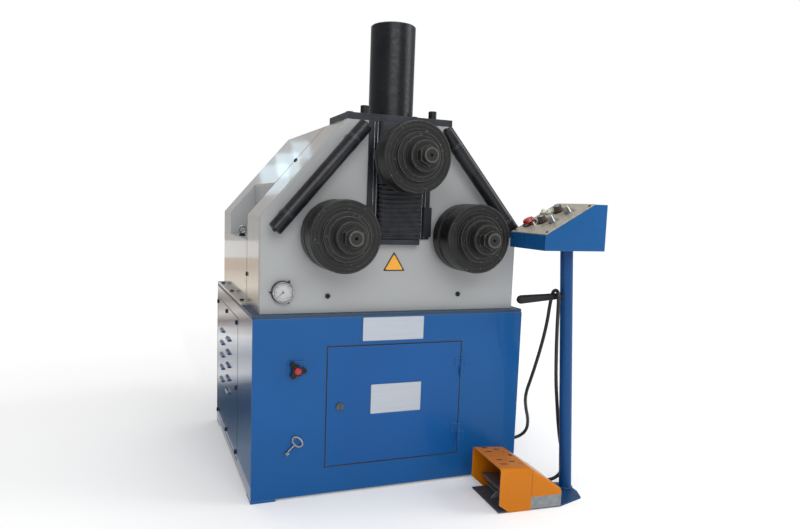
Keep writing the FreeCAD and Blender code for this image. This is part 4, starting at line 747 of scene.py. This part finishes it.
def grow(tree, mesh, **values):
    """Run a tree on a mesh and return the plain mesh that it makes."""
    holder = bpy.data.objects.new("grower", mesh)
    scene.collection.objects.link(holder)
    growth = holder.modifiers.new("growth", "NODES")
    growth.node_group = tree
    for socket in tree.interface.items_tree:
        if socket.in_out == "INPUT" and socket.name in values:
            growth[socket.identifier] = values[socket.name]
    graph = bpy.context.evaluated_depsgraph_get()
    grown = bpy.data.meshes.new_from_object(holder.evaluated_get(graph))
    bpy.data.objects.remove(holder)
    return grown


print("node helpers ready,", len(bpy.data.node_groups), "trees yet")

# %% [markdown]
# Every screw is the same head in another place, facing another way. So the places are loose
# points that carry a direction and a size, and a tree sets a head on each. The direction is
# turned into a rotation inside the tree, which is easier to read than three angles for each.

# %% Heads on points
def points_mesh(name, spots):
    """Loose points that carry a facing direction and a size."""
    mesh = bpy.data.meshes.new(name)
    mesh.from_pydata([spot[0] for spot in spots], [], [])
    facing = mesh.attributes.new("facing", "FLOAT_VECTOR", "POINT")
    facing.data.foreach_set("vector", [c for spot in spots for c in spot[1]])
    size = mesh.attributes.new("size", "FLOAT", "POINT")
    size.data.foreach_set("value", [spot[2] for spot in spots])
    return mesh


def read_attribute(tree, name, kind):
    return add_node(tree, "GeometryNodeInputNamedAttribute", {"Name": name},
                    data_type=kind).outputs["Attribute"]


def point_along(tree, direction, axis):
    """Rotation that points one axis of each copy along a direction."""
    return add_node(tree, "FunctionNodeAlignRotationToVector", {"Vector": direction},
                    axis=axis).outputs["Rotation"]


def head_tree():
    """One head on every point, turned to face outward and scaled to its size."""
    tree, given, out = new_tree("heads_on_points", Head="Object", Material="Material")
    head = add_node(tree, "GeometryNodeObjectInfo", {"Object": given["Head"]})
    spread = add_node(tree, "GeometryNodeInstanceOnPoints", {
        "Points": given["Geometry"], "Instance": head.outputs["Geometry"],
        "Rotation": point_along(tree, read_attribute(tree, "facing", "FLOAT_VECTOR"), "Z"),
        "Scale": read_attribute(tree, "size", "FLOAT")})
    close_tree(tree, spread.outputs[0], given, out)
    return tree


heads = head_tree()
print("nodes in the head tree", len(heads.nodes))

# %% [markdown]
# The black screws hold the side covers, the deck strips, the casing, the gauge and the desk
# panel, and two plugs close spare holes below the rolls. They are socket heads: a low drum with
# a rounded shoulder and a six-sided recess, one unit in radius, so that size scales it.

# %% Black screws and plugs
COVER_SCREW, STRIP_SCREW, HATCH_SCREW, LUG_SCREW, DESK_SCREW = 0.0085, 0.0075, 0.005, 0.0035, 0.0042
PANEL_TURN = math.atan2(0.101, 0.180)
PANEL = Matrix.Translation((0.371, -0.617, 0.882)) @ Matrix.Rotation(-PANEL_TURN, 4, "Y")
PANEL_TOP = 0.003
PANEL_UP = tuple(PANEL.to_3x3() @ Vector(UP))
GAUGE = Vector((-0.383, -0.410, 0.6755))
LUG_REACH = 0.039


def socket_head():
    work = bmesh.new()
    section = [(0, 0.28), (0.5, 0.28), (0.5, 0.6), (0.84, 0.6), (1, 0.42), (1, -0.05), (0, -0.05)]
    lathe(work, section, (0, 0, 0), UP, 12, flats=(1, 2))
    bmesh.ops.recalc_face_normals(work, faces=work.faces)
    return bpy.data.objects.new("socket_head", mesh_of(work, "socket_head"))


def screw_spots():
    """Place, direction and radius of every black screw."""
    spots = []
    for side in (-1, 1):
        out = (side, 0, 0)
        spots.append(((side * 0.2345, -0.410, 0.660), FRONT, COVER_SCREW))
        for y in (-0.113, 0.1425, 0.410):
            spots += [((side * 0.480, y, z), out, COVER_SCREW) for z in (0.055, 0.529)]
        spots.append(((side * 0.480, -0.113, 0.292), out, COVER_SCREW))
        spots += [((side * 0.4665, y, 0.612), UP, STRIP_SCREW) for y in (-0.140, 0.105, 0.360)]
        spots.append(((side * 0.453, -0.163, 0.707), out, STRIP_SCREW))
        spots.append(((side * 0.290, -0.163, 1.1026), (side * 0.7616, 0, 0.648), STRIP_SCREW))
        spots += [((side * 0.200, 0.4365, z), (0, 1, 0), HATCH_SCREW) for z in (0.700, 1.000)]
    for angle in (180, 58, -60):
        lug = Vector((math.cos(math.radians(angle)), 0, math.sin(math.radians(angle)))) * LUG_REACH
        spots.append((tuple(GAUGE + lug + Vector((0, -0.006, 0))), FRONT, LUG_SCREW))
    for u in (0.014, 0.190):
        spots += [(tuple(PANEL @ Vector((u, v, PANEL_TOP))), PANEL_UP, DESK_SCREW)
                  for v in (-0.092, 0.092)]
    return spots


screw_mesh = grow(heads, points_mesh("screw_points", screw_spots()), Head=socket_head(),
                  Material=black_screw)
print("screws", len(screw_spots()))
tell(finish_piece(screw_mesh, "black_screws", "base", black_screw))

# %% [markdown]
# Three places that carry printing on such a machine stay bare: the long plate under the deck,
# the plate on the door and the triangle between the rolls. They are thin sheet with rounded
# corners and a shallow rim, because a sticker's edge catches the light where paint does not.

# %% Bare plates
LINE = 0.0002
BORDER = 0.001


def flat_plate(work, corners, y, thick, radius=0.003):
    """An upright sheet from (x, z) corners, its corners rounded, its front at y."""
    outline = []
    for number, corner in enumerate(corners):
        here = Vector(corner)
        before = (Vector(corners[number - 1]) - here).normalized() * radius * 1.4
        after = (Vector(corners[(number + 1) % len(corners)]) - here).normalized() * radius * 1.4
        for step in range(5):
            t = step / 4
            outline.append(here + before * (1 - t) ** 2 + after * t ** 2)
    back = [work.verts.new((p.x, y + thick, p.y)) for p in outline]
    front = [work.verts.new((p.x, y, p.y)) for p in outline]
    work.faces.new(back)
    work.faces.new(front)
    for step in range(len(outline)):
        work.faces.new((back[step - 1], back[step], front[step], front[step - 1]))


def bare_plate(name, body, x0, x1, z0, z1, y):
    """A sheet and its rim: fine lines along the top and bottom, wider ones up the sides."""
    work = bmesh.new()
    flat_plate(work, [(x0, z0), (x1, z0), (x1, z1), (x0, z1)], y - 0.0010, 0.0010)
    rim = ((x0 + BORDER, x1, z0 + BORDER, z0 + BORDER + LINE), (x0 + BORDER, x1, z1 - LINE, z1),
           (x0 + LINE, x0 + BORDER, z0 + BORDER, z1 - BORDER),
           (x1 - BORDER, x1 - LINE, z0 + BORDER, z1 - BORDER))
    return (piece_from(work, name, body, plate_face),
            boxes(name + "_rim", body, rim_dark,
                  [((a, y - 0.0014, c), (b, y - 0.0009, d)) for a, b, c, d in rim], soft=0))


def triangle(inset, lift, name, material):
    apex, left, right = (-0.009, 0.806), (-0.047, 0.741), (0.032, 0.741)
    middle = Vector(((apex[0] + left[0] + right[0]) / 3, (apex[1] + left[1] + right[1]) / 3))
    corners = [tuple(middle + (Vector(c) - middle) * inset) for c in (left, right, apex)]
    work = bmesh.new()
    flat_plate(work, corners, -0.410 - lift, 0.0008, 0.004 * inset)
    return piece_from(work, name, "base", material)


rim_dark = brushed("rim_dark", shade(72, 84, 104), shade(96, 108, 128), 0.4, 0.2)
tell(*bare_plate("long_plate", "base", -0.121, 0.097, 0.513, 0.5915, -0.440),
     *bare_plate("door_plate", "door", -0.0865, 0.096, 0.265, 0.365, -0.440),
     triangle(1.0, 0.0008, "triangle_edge", sign_edge),
     triangle(0.80, 0.0014, "triangle_field", amber))

# %% [markdown]
# The pressure gauge carries black marks on three quarters of a circle. They are a Geometry
# Nodes tree: an arc is cut into points and one small bar stands on each, turned along the
# radius. Drawing them in a shader would blur near the camera.

# %% Gauge marks
MARKS_START, MARKS_SWEEP = math.radians(-45), math.radians(270)
MARK_THICK = 0.0002
MARKS_AT = 0.0126


def tick_tree():
    """Bars on an arc, each turned along its radius."""
    tree, given, out = new_tree("marks_on_arc", Radius="Float", Count="Int", Length="Float",
                                Width="Float", Material="Material")
    arc = add_node(tree, "GeometryNodeCurveArc", {
        "Radius": given["Radius"], "Resolution": given["Count"], "Start Angle": MARKS_START,
        "Sweep Angle": MARKS_SWEEP})
    points = add_node(tree, "GeometryNodeCurveToPoints", {"Curve": arc.outputs["Curve"],
                                                          "Count": given["Count"]})
    size = add_node(tree, "ShaderNodeCombineXYZ", {"X": given["Length"], "Y": given["Width"],
                                                   "Z": MARK_THICK})
    bar = add_node(tree, "GeometryNodeMeshCube", {"Size": size.outputs[0]})
    radius = tree.nodes.new("GeometryNodeInputPosition").outputs[0]
    spread = add_node(tree, "GeometryNodeInstanceOnPoints", {
        "Points": points.outputs["Points"], "Instance": bar.outputs["Mesh"],
        "Rotation": point_along(tree, radius, "X")})
    close_tree(tree, spread.outputs[0], given, out)
    return tree


def in_gauge(depth):
    """A place on the gauge's axis, so far in front of its mounting face."""
    return GAUGE + Vector((0, -depth, 0))


def dial_marks(name, radius, count, length, width):
    """Marks drawn flat, then stood up to face the front."""
    mesh = grow(ticks, points_mesh(name + "_start", []), Radius=radius, Count=count,
                Length=length, Width=width, Material=black_screw)
    mesh.transform(Matrix.Translation(in_gauge(MARKS_AT)) @ Matrix.Rotation(math.pi / 2, 4, "X"))
    return finish_piece(mesh, name, "base", black_screw)


ticks = tick_tree()
tell(dial_marks("long_marks", 0.0245, 7, 0.006, 0.0009),
     dial_marks("short_marks", 0.0260, 55, 0.003, 0.00035))

# %% [markdown]
# The gauge's white face, its glass and the needle's hub are turned discs, and three dark seams
# show where case, rim and dial meet. The glass is a low dome with a nearly clear finish, so the
# room's light slides over it. Glass that bends light would cost time and look the same here.

# %% Gauge face, glass and hub
FACE_AT, LINE_AT, HUB_AT, GLASS_AT, RIM_AT = 0.0120, 0.0124, 0.0150, 0.0195, 0.0215


def glass_finish():
    material, tree, shader, place = new_finish("gauge_glass", Alpha=0.1)
    gloss_with(tree, shader, noise(tree, place, 60), 0.02, 0.06)
    return material


def gauge_lines():
    """Dark seams round the case, in its rim and between marks and middle."""
    work = bmesh.new()
    for inner, outer, thick, depth in ((0.0344, 0.0362, 0.0050, 0.0001),
                                       (0.0296, 0.0303, 0.0009, RIM_AT),
                                       (0.0206, 0.0212, 0.0002, LINE_AT)):
        ring(work, inner, outer, thick, in_gauge(depth), FRONT, 64)
    return piece_from(work, "gauge_lines", "base", black_screw)


tell(turned("gauge_face", "base", gauge_white,
            [(0, 0.0004), (0.0296, 0.0004), (0.0296, 0), (0, 0)], in_gauge(FACE_AT)),
     turned("gauge_glass", "base", glass_finish(),
            [(0, 0.0018), (0.020, 0.0014), (0.0298, 0.0008), (0.0298, 0), (0, 0)],
            in_gauge(GLASS_AT), steps=64),
     gauge_lines(),
     turned("needle_hub", "needle", black_screw,
            [(0, 0.003), (0.0022, 0.003), (0.0034, 0.002), (0.0034, 0), (0, 0)],
            in_gauge(HUB_AT), steps=24))

# %% [markdown]
# On the desk every control gets the ring, the cap or the white mark that shows which way it
# points. They are drawn flat on the panel and carried up to its slope by one matrix, so the
# numbers stay as simple as on a drawing.

# %% Desk controls
POINTER_TURN = math.atan2(-0.89, -0.45)
POINTER_LENGTH = 0.029
POINTER_HALF, POINTER_THICK = 0.0019, 0.0022
CAP_SECTION = [(0, 0.0012), (0.0085, 0.0012), (0.0095, 0.0004), (0.0095, -0.001), (0, -0.001)]
DIALS = {"front": ("speed_dial", 0.078, 0.017), "rear": ("position_dial", 0.150, 0.021)}
SELECTORS = {"front": ("mode_selector", 0.082, -0.040), "rear": ("power_selector", 0.147, -0.043)}


def panel_piece(work, name, body, material):
    """Carry a drawing up to the panel's slope and finish it."""
    for vert in work.verts:
        vert.co = PANEL @ vert.co
    return piece_from(work, name, body, material)


def panel_ring(name, u, v, inner, outer, thick, material):
    work = bmesh.new()
    ring(work, inner, outer, thick, (u, v, PANEL_TOP), UP)
    return panel_piece(work, name, "base", material)


def dial_cap(name, body, u, v):
    work = bmesh.new()
    lathe(work, CAP_SECTION, (u, v, 0.0234), UP, 32)
    return panel_piece(work, name, body, bezel)


def white_blade(name, body, u, v, start, low, high):
    """A white pointer that falls from a knob's middle to its edge."""
    turn = Matrix.Translation((u, v, 0)) @ Matrix.Rotation(POINTER_TURN, 4, "Z")
    work = bmesh.new()
    rows = [[work.verts.new(turn @ Vector((along, side * POINTER_HALF, height + lift)))
             for side, lift in ((-1, 0), (1, 0), (1, POINTER_THICK), (-1, POINTER_THICK))]
            for along, height in ((start, high), (start + POINTER_LENGTH, low))]
    for step in range(4):
        work.faces.new((rows[0][step - 1], rows[0][step], rows[1][step], rows[1][step - 1]))
    for row in rows:
        work.faces.new(row)
    bmesh.ops.bevel(work, geom=list(work.edges), offset=0.0004, segments=1, affect="EDGES")
    return panel_piece(work, name, body, white_mark)


for end, (body, u, v) in DIALS.items():
    tell(panel_ring(end + "_dial_scale", u, v, 0.0185, 0.0215, 0.0012,
                    black_moulded),
         dial_cap(end + "_dial_cap", body, u, v))
for end, (body, u, v) in SELECTORS.items():
    tell(panel_ring(end + "_selector_seat", u, v, 0.0150, 0.0175, 0.0022, bezel),
         white_blade(end + "_selector_mark", body, u, v, -0.002, 0.0105, 0.0235))
tell(panel_ring("stop_seat", 0.059, 0.067, 0.0212, 0.0245, 0.0040, black_moulded),
     white_blade("stop_mark", "base", 0.061, 0.045, 0.0, 0.0035, 0.0075))
for name, v in (("lamp_ring_59", 0.059), ("lamp_ring_91", 0.091)):
    tell(panel_ring(name, 0.138, v, 0.0122, 0.0146, 0.0030, bezel))

# %% [markdown]
# The bellows under the ram are a stack of folded rubber frames. One fold is a flat ring bent
# like a roof: thin outer edge, deep valley. A Geometry Nodes line repeats it, and the welded
# stack replaces the plain frame solid.

# %% Bellows
BELLOWS_LOW, BELLOWS_HIGH = 0.846, 1.026
BELLOWS_HALF, BELLOWS_FRONT, BELLOWS_BACK = 0.074, -0.440, -0.4165
BELLOWS_CORNER = 0.003
FOLDS = 12
PITCH = (BELLOWS_HIGH - BELLOWS_LOW) / FOLDS
FOLD_PROFILE = ((0.0055, 0.0), (0.0046, 0.14), (0.0006, 0.42), (0.0, 0.5), (0.0006, 0.58),
                (0.0046, 0.86), (0.0055, 1.0))


def one_fold():
    """A rounded fold between two valleys, open above and below."""
    work = bmesh.new()
    rows = []
    for inset, height in FOLD_PROFILE:
        x, front, soft = BELLOWS_HALF - inset, BELLOWS_FRONT + inset, BELLOWS_CORNER
        row = [(-x, BELLOWS_BACK), (-x, front + soft), (-x + soft, front), (x - soft, front),
               (x, front + soft), (x, BELLOWS_BACK)]
        rows.append([work.verts.new((px, py, BELLOWS_LOW + height * PITCH)) for px, py in row])
    for low, high in zip(rows, rows[1:]):
        for step in range(6):
            work.faces.new((low[step - 1], low[step], high[step], high[step - 1]))
    return mesh_of(work, "one_fold")


def stack_tree():
    """The pattern repeated up a line and welded into one skin."""
    tree, given, out = new_tree("fold_stack", Count="Int", Pitch="Float", Material="Material")
    step = add_node(tree, "ShaderNodeCombineXYZ", {"Z": given["Pitch"]})
    line = add_node(tree, "GeometryNodeMeshLine", {"Count": given["Count"],
                                                   "Offset": step.outputs[0]})
    spread = add_node(tree, "GeometryNodeInstanceOnPoints", {"Points": line.outputs["Mesh"],
                                                             "Instance": given["Geometry"]})
    real = add_node(tree, "GeometryNodeRealizeInstances", {"Geometry": spread.outputs[0]})
    weld = add_node(tree, "GeometryNodeMergeByDistance", {"Geometry": real.outputs[0],
                                                          "Distance": 0.0001})
    close_tree(tree, weld.outputs[0], given, out)
    return tree


def make_bellows():
    mesh = grow(stack_tree(), one_fold(), Count=FOLDS, Pitch=PITCH, Material=bellows_skin)
    work = bmesh.new()
    work.from_mesh(mesh)
    bmesh.ops.holes_fill(work, edges=[e for e in work.edges if e.is_boundary], sides=0)
    piece = piece_from(work, "bellows_folds", None, bellows_skin)
    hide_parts("bellows")
    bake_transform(piece)
    return piece


tell(make_bellows())

# %% [markdown]
# The two sloping bars have a machined ring near each end, where the drawn tube is turned down.
# Each ring stands a quarter of a millimetre proud. Both bars are alike, so one list of places
# along the bar serves the two sides.

# %% Bar rings
BAR_FOOT = Vector((0.453, -0.462, 0.911))
BAR_UP = Vector((-0.268, 0, 0.315)).normalized()
BAR_IN = Vector((-BAR_UP.z, 0, BAR_UP.x))
BAR_START = BAR_FOOT + BAR_IN * 0.049 - BAR_UP * 0.008
RINGS_ALONG = (0.058, 0.064, 0.374, 0.380)


def bar_rings():
    work = bmesh.new()
    for side in (-1, 1):
        flip = Vector((side, 1, 1))
        for along in RINGS_ALONG:
            ring(work, 0.0228, 0.02385, 0.0014, (BAR_START + BAR_UP * along) * flip,
                 BAR_UP * flip, 64)
    return piece_from(work, "bar_rings", "base", bar_ring)


tell(bar_rings())

# %% [markdown]
# The guide rails beside the ram carry two ground lands each, which shine beside the black
# paint. Around the casing runs the dark joint between the front housing and the rear casing.
# Both are thin strips laid on the metal, because a painted line would not catch the light.

# %% Lands and joint
LAND_WIDTH = 0.0016
JOINT_FRONT, JOINT_BACK = -0.1570, -0.1530


def rail_lands():
    edges = [sorted((side * x, side * (x + LAND_WIDTH))) for side in (-1, 1)
             for x in (0.0812, 0.0925)]
    return boxes("rail_lands", "base", land_bright,
                 [((low, -0.4183, 0.852), (high, -0.4178, 1.222)) for low, high in edges])


def casing_joint():
    """A narrow band that follows the housing's outline where its two halves meet."""
    half = [(0.4533, 0.608), (0.4533, 0.9111), (0.1851, 1.2263)]
    outline = [(-x, z) for x, z in half] + [(x, z) for x, z in reversed(half)]
    work = bmesh.new()
    rows = [[work.verts.new((x * shrink, y, z - drop)) for x, z in outline]
            for y, shrink, drop in ((JOINT_FRONT, 1, 0), (JOINT_BACK, 1, 0),
                                    (JOINT_BACK, 0.996, 0.001), (JOINT_FRONT, 0.996, 0.001))]
    for step in range(4):
        for here in range(len(outline) - 1):
            work.faces.new((rows[step - 1][here], rows[step][here], rows[step][here + 1],
                            rows[step - 1][here + 1]))
    for here in (0, -1):
        work.faces.new([row[here] for row in rows])
    return piece_from(work, "casing_joint", "base", black_screw)


tell(rail_lands(), casing_joint())

# %% [markdown]
# A red cap marks the main switch. It sits in the middle of the three-lobed black knob and turns
# with it. A low dome is round about the knob's own axis, so it is turned like the rings.

# %% Switch cap
SWITCH = (-0.341, -0.4705, 0.431)
tell(turned("switch_cap", "switch", stop_red,
            [(0, 0.0032), (0.006, 0.0029), (0.0098, 0.0018), (0.0112, 0.0), (0.0112, -0.005),
             (0, -0.005)], SWITCH))

# %% [markdown]
# A lifting eye stands in each shoulder pocket: a forged steel ring on a black foot. The ring is
# a circle turned round an axis beside it, which is the same lathe with a closed section.

# %% Lifting eyes
EYE_RADIUS, EYE_WIRE, EYE_HEIGHT = 0.0125, 0.0036, 0.0245


def lifting_eye(side, end):
    foot = Vector((side * 0.4365, 0.061, 0.826))
    turns = [math.tau * step / 12 for step in range(13)]
    wire = [(EYE_RADIUS + EYE_WIRE * math.cos(t), EYE_WIRE * math.sin(t)) for t in turns]
    return (turned("eye_foot_" + end, "base", black_screw,
                   [(0, 0.010), (0.007, 0.010), (0.011, 0.007), (0.011, 0), (0, 0)], foot, UP, 24),
            turned("eye_" + end, "base", bezel, wire,
                   foot + Vector((0, 0, EYE_HEIGHT)), FRONT, 32))


tell(*lifting_eye(-1, "left"), *lifting_eye(1, "right"))

# %% [markdown]
# Dark strips round the door opening paint the shade in the gap round the door, so that it reads as
# a firm line. They are laid in short lengths so that they stop above and below each hinge. The side
# covers' seams get the same painted shade.

# %% Door and cover gap shade
def door_edging():
    """Painted shade strips on the left, below, above and in three lengths on the hinge side."""
    strips = [(-0.2412, -0.2388, 0.0956, 0.5014), (-0.2412, 0.2454, 0.0956, 0.0980),
              (-0.2412, 0.2454, 0.4990, 0.5014)]
    strips += [(0.2430, 0.2454, low, high)
               for low, high in ((0.098, 0.143), (0.209, 0.376), (0.442, 0.499))]
    return boxes("door_edging", "base", black_moulded,
                 [((x0, -0.4405, z0), (x1, -0.4399, z1)) for x0, x1, z0, z1 in strips])


def cover_edging():
    """Painted shade in the seam round each louvred side cover, in the same dark strips."""
    strips = ((-0.1465, -0.1435, 0.0335, 0.5505), (0.4285, 0.4315, 0.0335, 0.5505),
              (-0.1435, 0.4285, 0.0335, 0.0360), (-0.1435, 0.4285, 0.5480, 0.5505))
    sides = [sorted((side * 0.4799, side * 0.4804)) for side in (-1, 1)]
    return boxes("cover_edging", "base", black_moulded,
                 [((low, y0, z0), (high, y1, z1)) for low, high in sides
                  for y0, y1, z0, z1 in strips])


tell(door_edging(), cover_edging())

# %% [markdown]
# The pedal's guard is one bent sheet. Where its wide front band ends, the sheet is folded in a
# little, and the fold reads as a dark line on both sides. Two thin dark strips on the drawing's own
# square axes paint that shade, and one matrix turns them to the stand's direction. Near-black pads
# below the roof's slots are painted shade too, so that the slots read dark from every side.

# %% Guard fold and slot shade
STAND = Matrix.Translation((0.252, -0.727, 0)) @ Matrix.Rotation(math.radians(-3.5), 4, "Z")
ROOF = STAND @ Matrix.Translation((0, 0, 0.147)) @ Matrix.Rotation(math.atan2(7, 108), 4, "Y")


def guard_folds():
    return boxes("guard_folds", "base", fold_shadow,
                 [((0.1126, y - 0.0003, 0.047), (0.1140, y + 0.0003, 0.136))
                  for y in (-0.0035, 0.2075)], STAND)


def slot_pads():
    """Near-black pads of painted shade, just below the roof's surface, one in each slot."""
    spots = [(x, y + shift, 0.0118, 0.0043) for shift in (0, 0.112)
             for x, y in ((0.035, 0.079), (0.072, 0.063), (0.033, 0.042))]
    spots.append((0.095, 0.119, 0.0068, 0.0068))
    return boxes("slot_pads", "base", slot_shade_black,
                 [((x - half_x, y - half_y, -0.0020), (x + half_x, y + half_y, -0.0003))
                  for x, y, half_x, half_y in spots], ROOF, 0.0002)


tell(guard_folds(), slot_pads())

# %% [markdown]
# The machine stands in a bright white room, so the floor is white too and glows a little more
# with the distance. A glossy side sheet shows whatever it faces, and in a shop that is a floor
# with dark and light bands. A second sheet carries such bands. The camera never sees it; only
# the enamel does, which looks truer than bands painted on the sheet, because they move with
# the view.

# %% Floor and mirrored bands
FLOOR_HALF = 14
GLOW_NEAR, GLOW_FAR = 0.12, 0.6
GLOW_FROM, GLOW_UNTIL = 0.6, 4.5
CARD_LOW, CARD_HIGH, CARD_LIFT = (-5, -2), (-0.5, 9), 0.002
CARD_GLOW = 1.7
CARD_WAVE = (0, 0.8, 0)
BANDS_DEEP = 8
CARD_BANDS = ((0.06, (0.13, 0.16, 0.19)), (0.13, (0.03, 0.04, 0.05)), (0.16, (0.10, 0.11, 0.12)),
              (0.20, (0.62, 0.62, 0.61)), (0.27, (0.42, 0.43, 0.43)), (0.34, (0.85, 0.83, 0.80)),
              (0.40, (0.20, 0.15, 0.11)), (0.46, (0.66, 0.60, 0.52)), (0.56, (0.25, 0.20, 0.15)),
              (0.68, (0.70, 0.64, 0.56)), (0.95, (0.42, 0.34, 0.27)))


def stage_sheet(name, low, high, height, material):
    """A flat sheet of the room, which is no part of the machine."""
    mesh = bpy.data.meshes.new(name)
    mesh.from_pydata([(low[0], low[1], height), (high[0], low[1], height),
                      (high[0], high[1], height), (low[0], high[1], height)], [], [(0, 1, 2, 3)])
    mesh.materials.append(material)
    sheet = bpy.data.objects.new(name, mesh)
    scene.collection.objects.link(sheet)
    sheet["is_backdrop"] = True
    return sheet


def white_floor():
    material, tree, shader, place = new_finish("studio_white", Specular_IOR_Level=0.1,
                                               Roughness=0.8)
    tree.links.new(two_tone(tree, noise(tree, place, 1.5), shade(238, 238, 238),
                            shade(242, 242, 242)), shader.inputs["Base Color"])
    reach = add_node(tree, "ShaderNodeVectorMath", {0: place}, operation="LENGTH")
    shader.inputs["Emission Color"].default_value = (1, 1, 1, 1)
    tree.links.new(span(tree, reach.outputs["Value"], GLOW_NEAR, GLOW_FAR, GLOW_FROM, GLOW_UNTIL),
                   shader.inputs["Emission Strength"])
    return material


def banded_floor():
    """Bands across Y, made wavy by a noise, that only glow."""
    material, tree, shader, place = new_finish("shop_floor", Specular_IOR_Level=0)
    shader.inputs["Base Color"].default_value = (0, 0, 0, 1)
    wave = add_node(tree, "ShaderNodeVectorMath", {
        0: noise(tree, place, 1.6, 3), 1: CARD_WAVE, 2: place}, operation="MULTIPLY_ADD")
    reach = add_node(tree, "ShaderNodeSeparateXYZ", {"Vector": wave.outputs[0]}).outputs["Y"]
    bands = colour_ramp(tree, span(tree, reach, 0, 1, 0, BANDS_DEEP),
                        [(position, (*colour, 1)) for position, colour in CARD_BANDS])
    tree.links.new(bands, shader.inputs["Emission Color"])
    shader.inputs["Emission Strength"].default_value = CARD_GLOW
    return material


stage_sheet("studio_floor", (-FLOOR_HALF, -FLOOR_HALF), (FLOOR_HALF, FLOOR_HALF), 0, white_floor())
card = stage_sheet("mirror_card", CARD_LOW, CARD_HIGH, CARD_LIFT, banded_floor())
card.visible_camera = card.visible_diffuse = False
card.visible_shadow = card.visible_transmission = False
print("floor", 2 * FLOOR_HALF, "m wide, bands", len(CARD_BANDS))

# %% [markdown]
# Big soft lights give broad highlights in glossy enamel; small lamps would leave hot spots.
# Three small bluish ones far behind stand for a window, which lies as a pale streak on the
# housing's left slope. The surroundings look white to the camera and light the machine at half
# strength, so black paint stays black.

# %% Lights and room
SKY_SEEN, SKY_FELT = 1.0, 0.5
WINDOW_BLUE = (0.62, 0.85, 1.0)
WINDOW_FAR = 5.0
SLOPE = (-0.36, 0, 1.0)
SOFTBOXES = (("key_softbox", (-0.6, -4.0, 2.6), (0, -0.2, 0.6), (3.0, 2.0), 84),
             ("side_softbox", (3.4, -1.6, 2.4), (0.2, -0.2, 0.7), (2.0, 2.4), 60),
             ("top_softbox", (0, 0.2, 4.2), (0, 0, 0.9), (3.0, 3.0), 42))
WINDOWS = (("low_window", -0.34, 2.08, 0.32, 0.34), ("middle_window", -0.2, 2.25, 0.26, 0.26),
           ("high_window", -0.06, 2.42, 0.2, 0.12))


def add_softbox(name, place, target, size, power, colour=(1, 1, 1)):
    """A rectangular light that faces its target and isn't seen itself."""
    data = bpy.data.lights.new(name, "AREA")
    data.shape = "RECTANGLE"
    data.size, data.size_y = size
    data.energy = power
    data.color = colour
    lamp = bpy.data.objects.new(name, data)
    scene.collection.objects.link(lamp)
    aim = (Vector(target) - Vector(place)).to_track_quat("-Z", "Y").to_matrix().to_4x4()
    lamp.matrix_world = Matrix.Translation(place) @ aim
    lamp.visible_camera = False


def add_world(seen, felt):
    """White to the camera, and a weaker light on the machine."""
    world = bpy.data.worlds.new("white_room")
    world.use_nodes = True
    tree = world.node_tree
    ground = tree.nodes["Background"]
    ground.inputs["Color"].default_value = (1, 1, 1, 1)
    ray = tree.nodes.new("ShaderNodeLightPath").outputs["Is Camera Ray"]
    tree.links.new(span(tree, ray, felt, seen, 0, 1), ground.inputs["Strength"])
    scene.world = world


add_world(SKY_SEEN, SKY_FELT)
for name, place, target, size, power in SOFTBOXES:
    add_softbox(name, place, target, size, power)
for name, x, z, width, power in WINDOWS:
    add_softbox(name, (x, WINDOW_FAR, z), SLOPE, (width, width), power, WINDOW_BLUE)
scene.view_settings.view_transform = "Standard"

# %% Last lines
size = {"cad": frame_box, "visual": [list(corner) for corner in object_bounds()]}
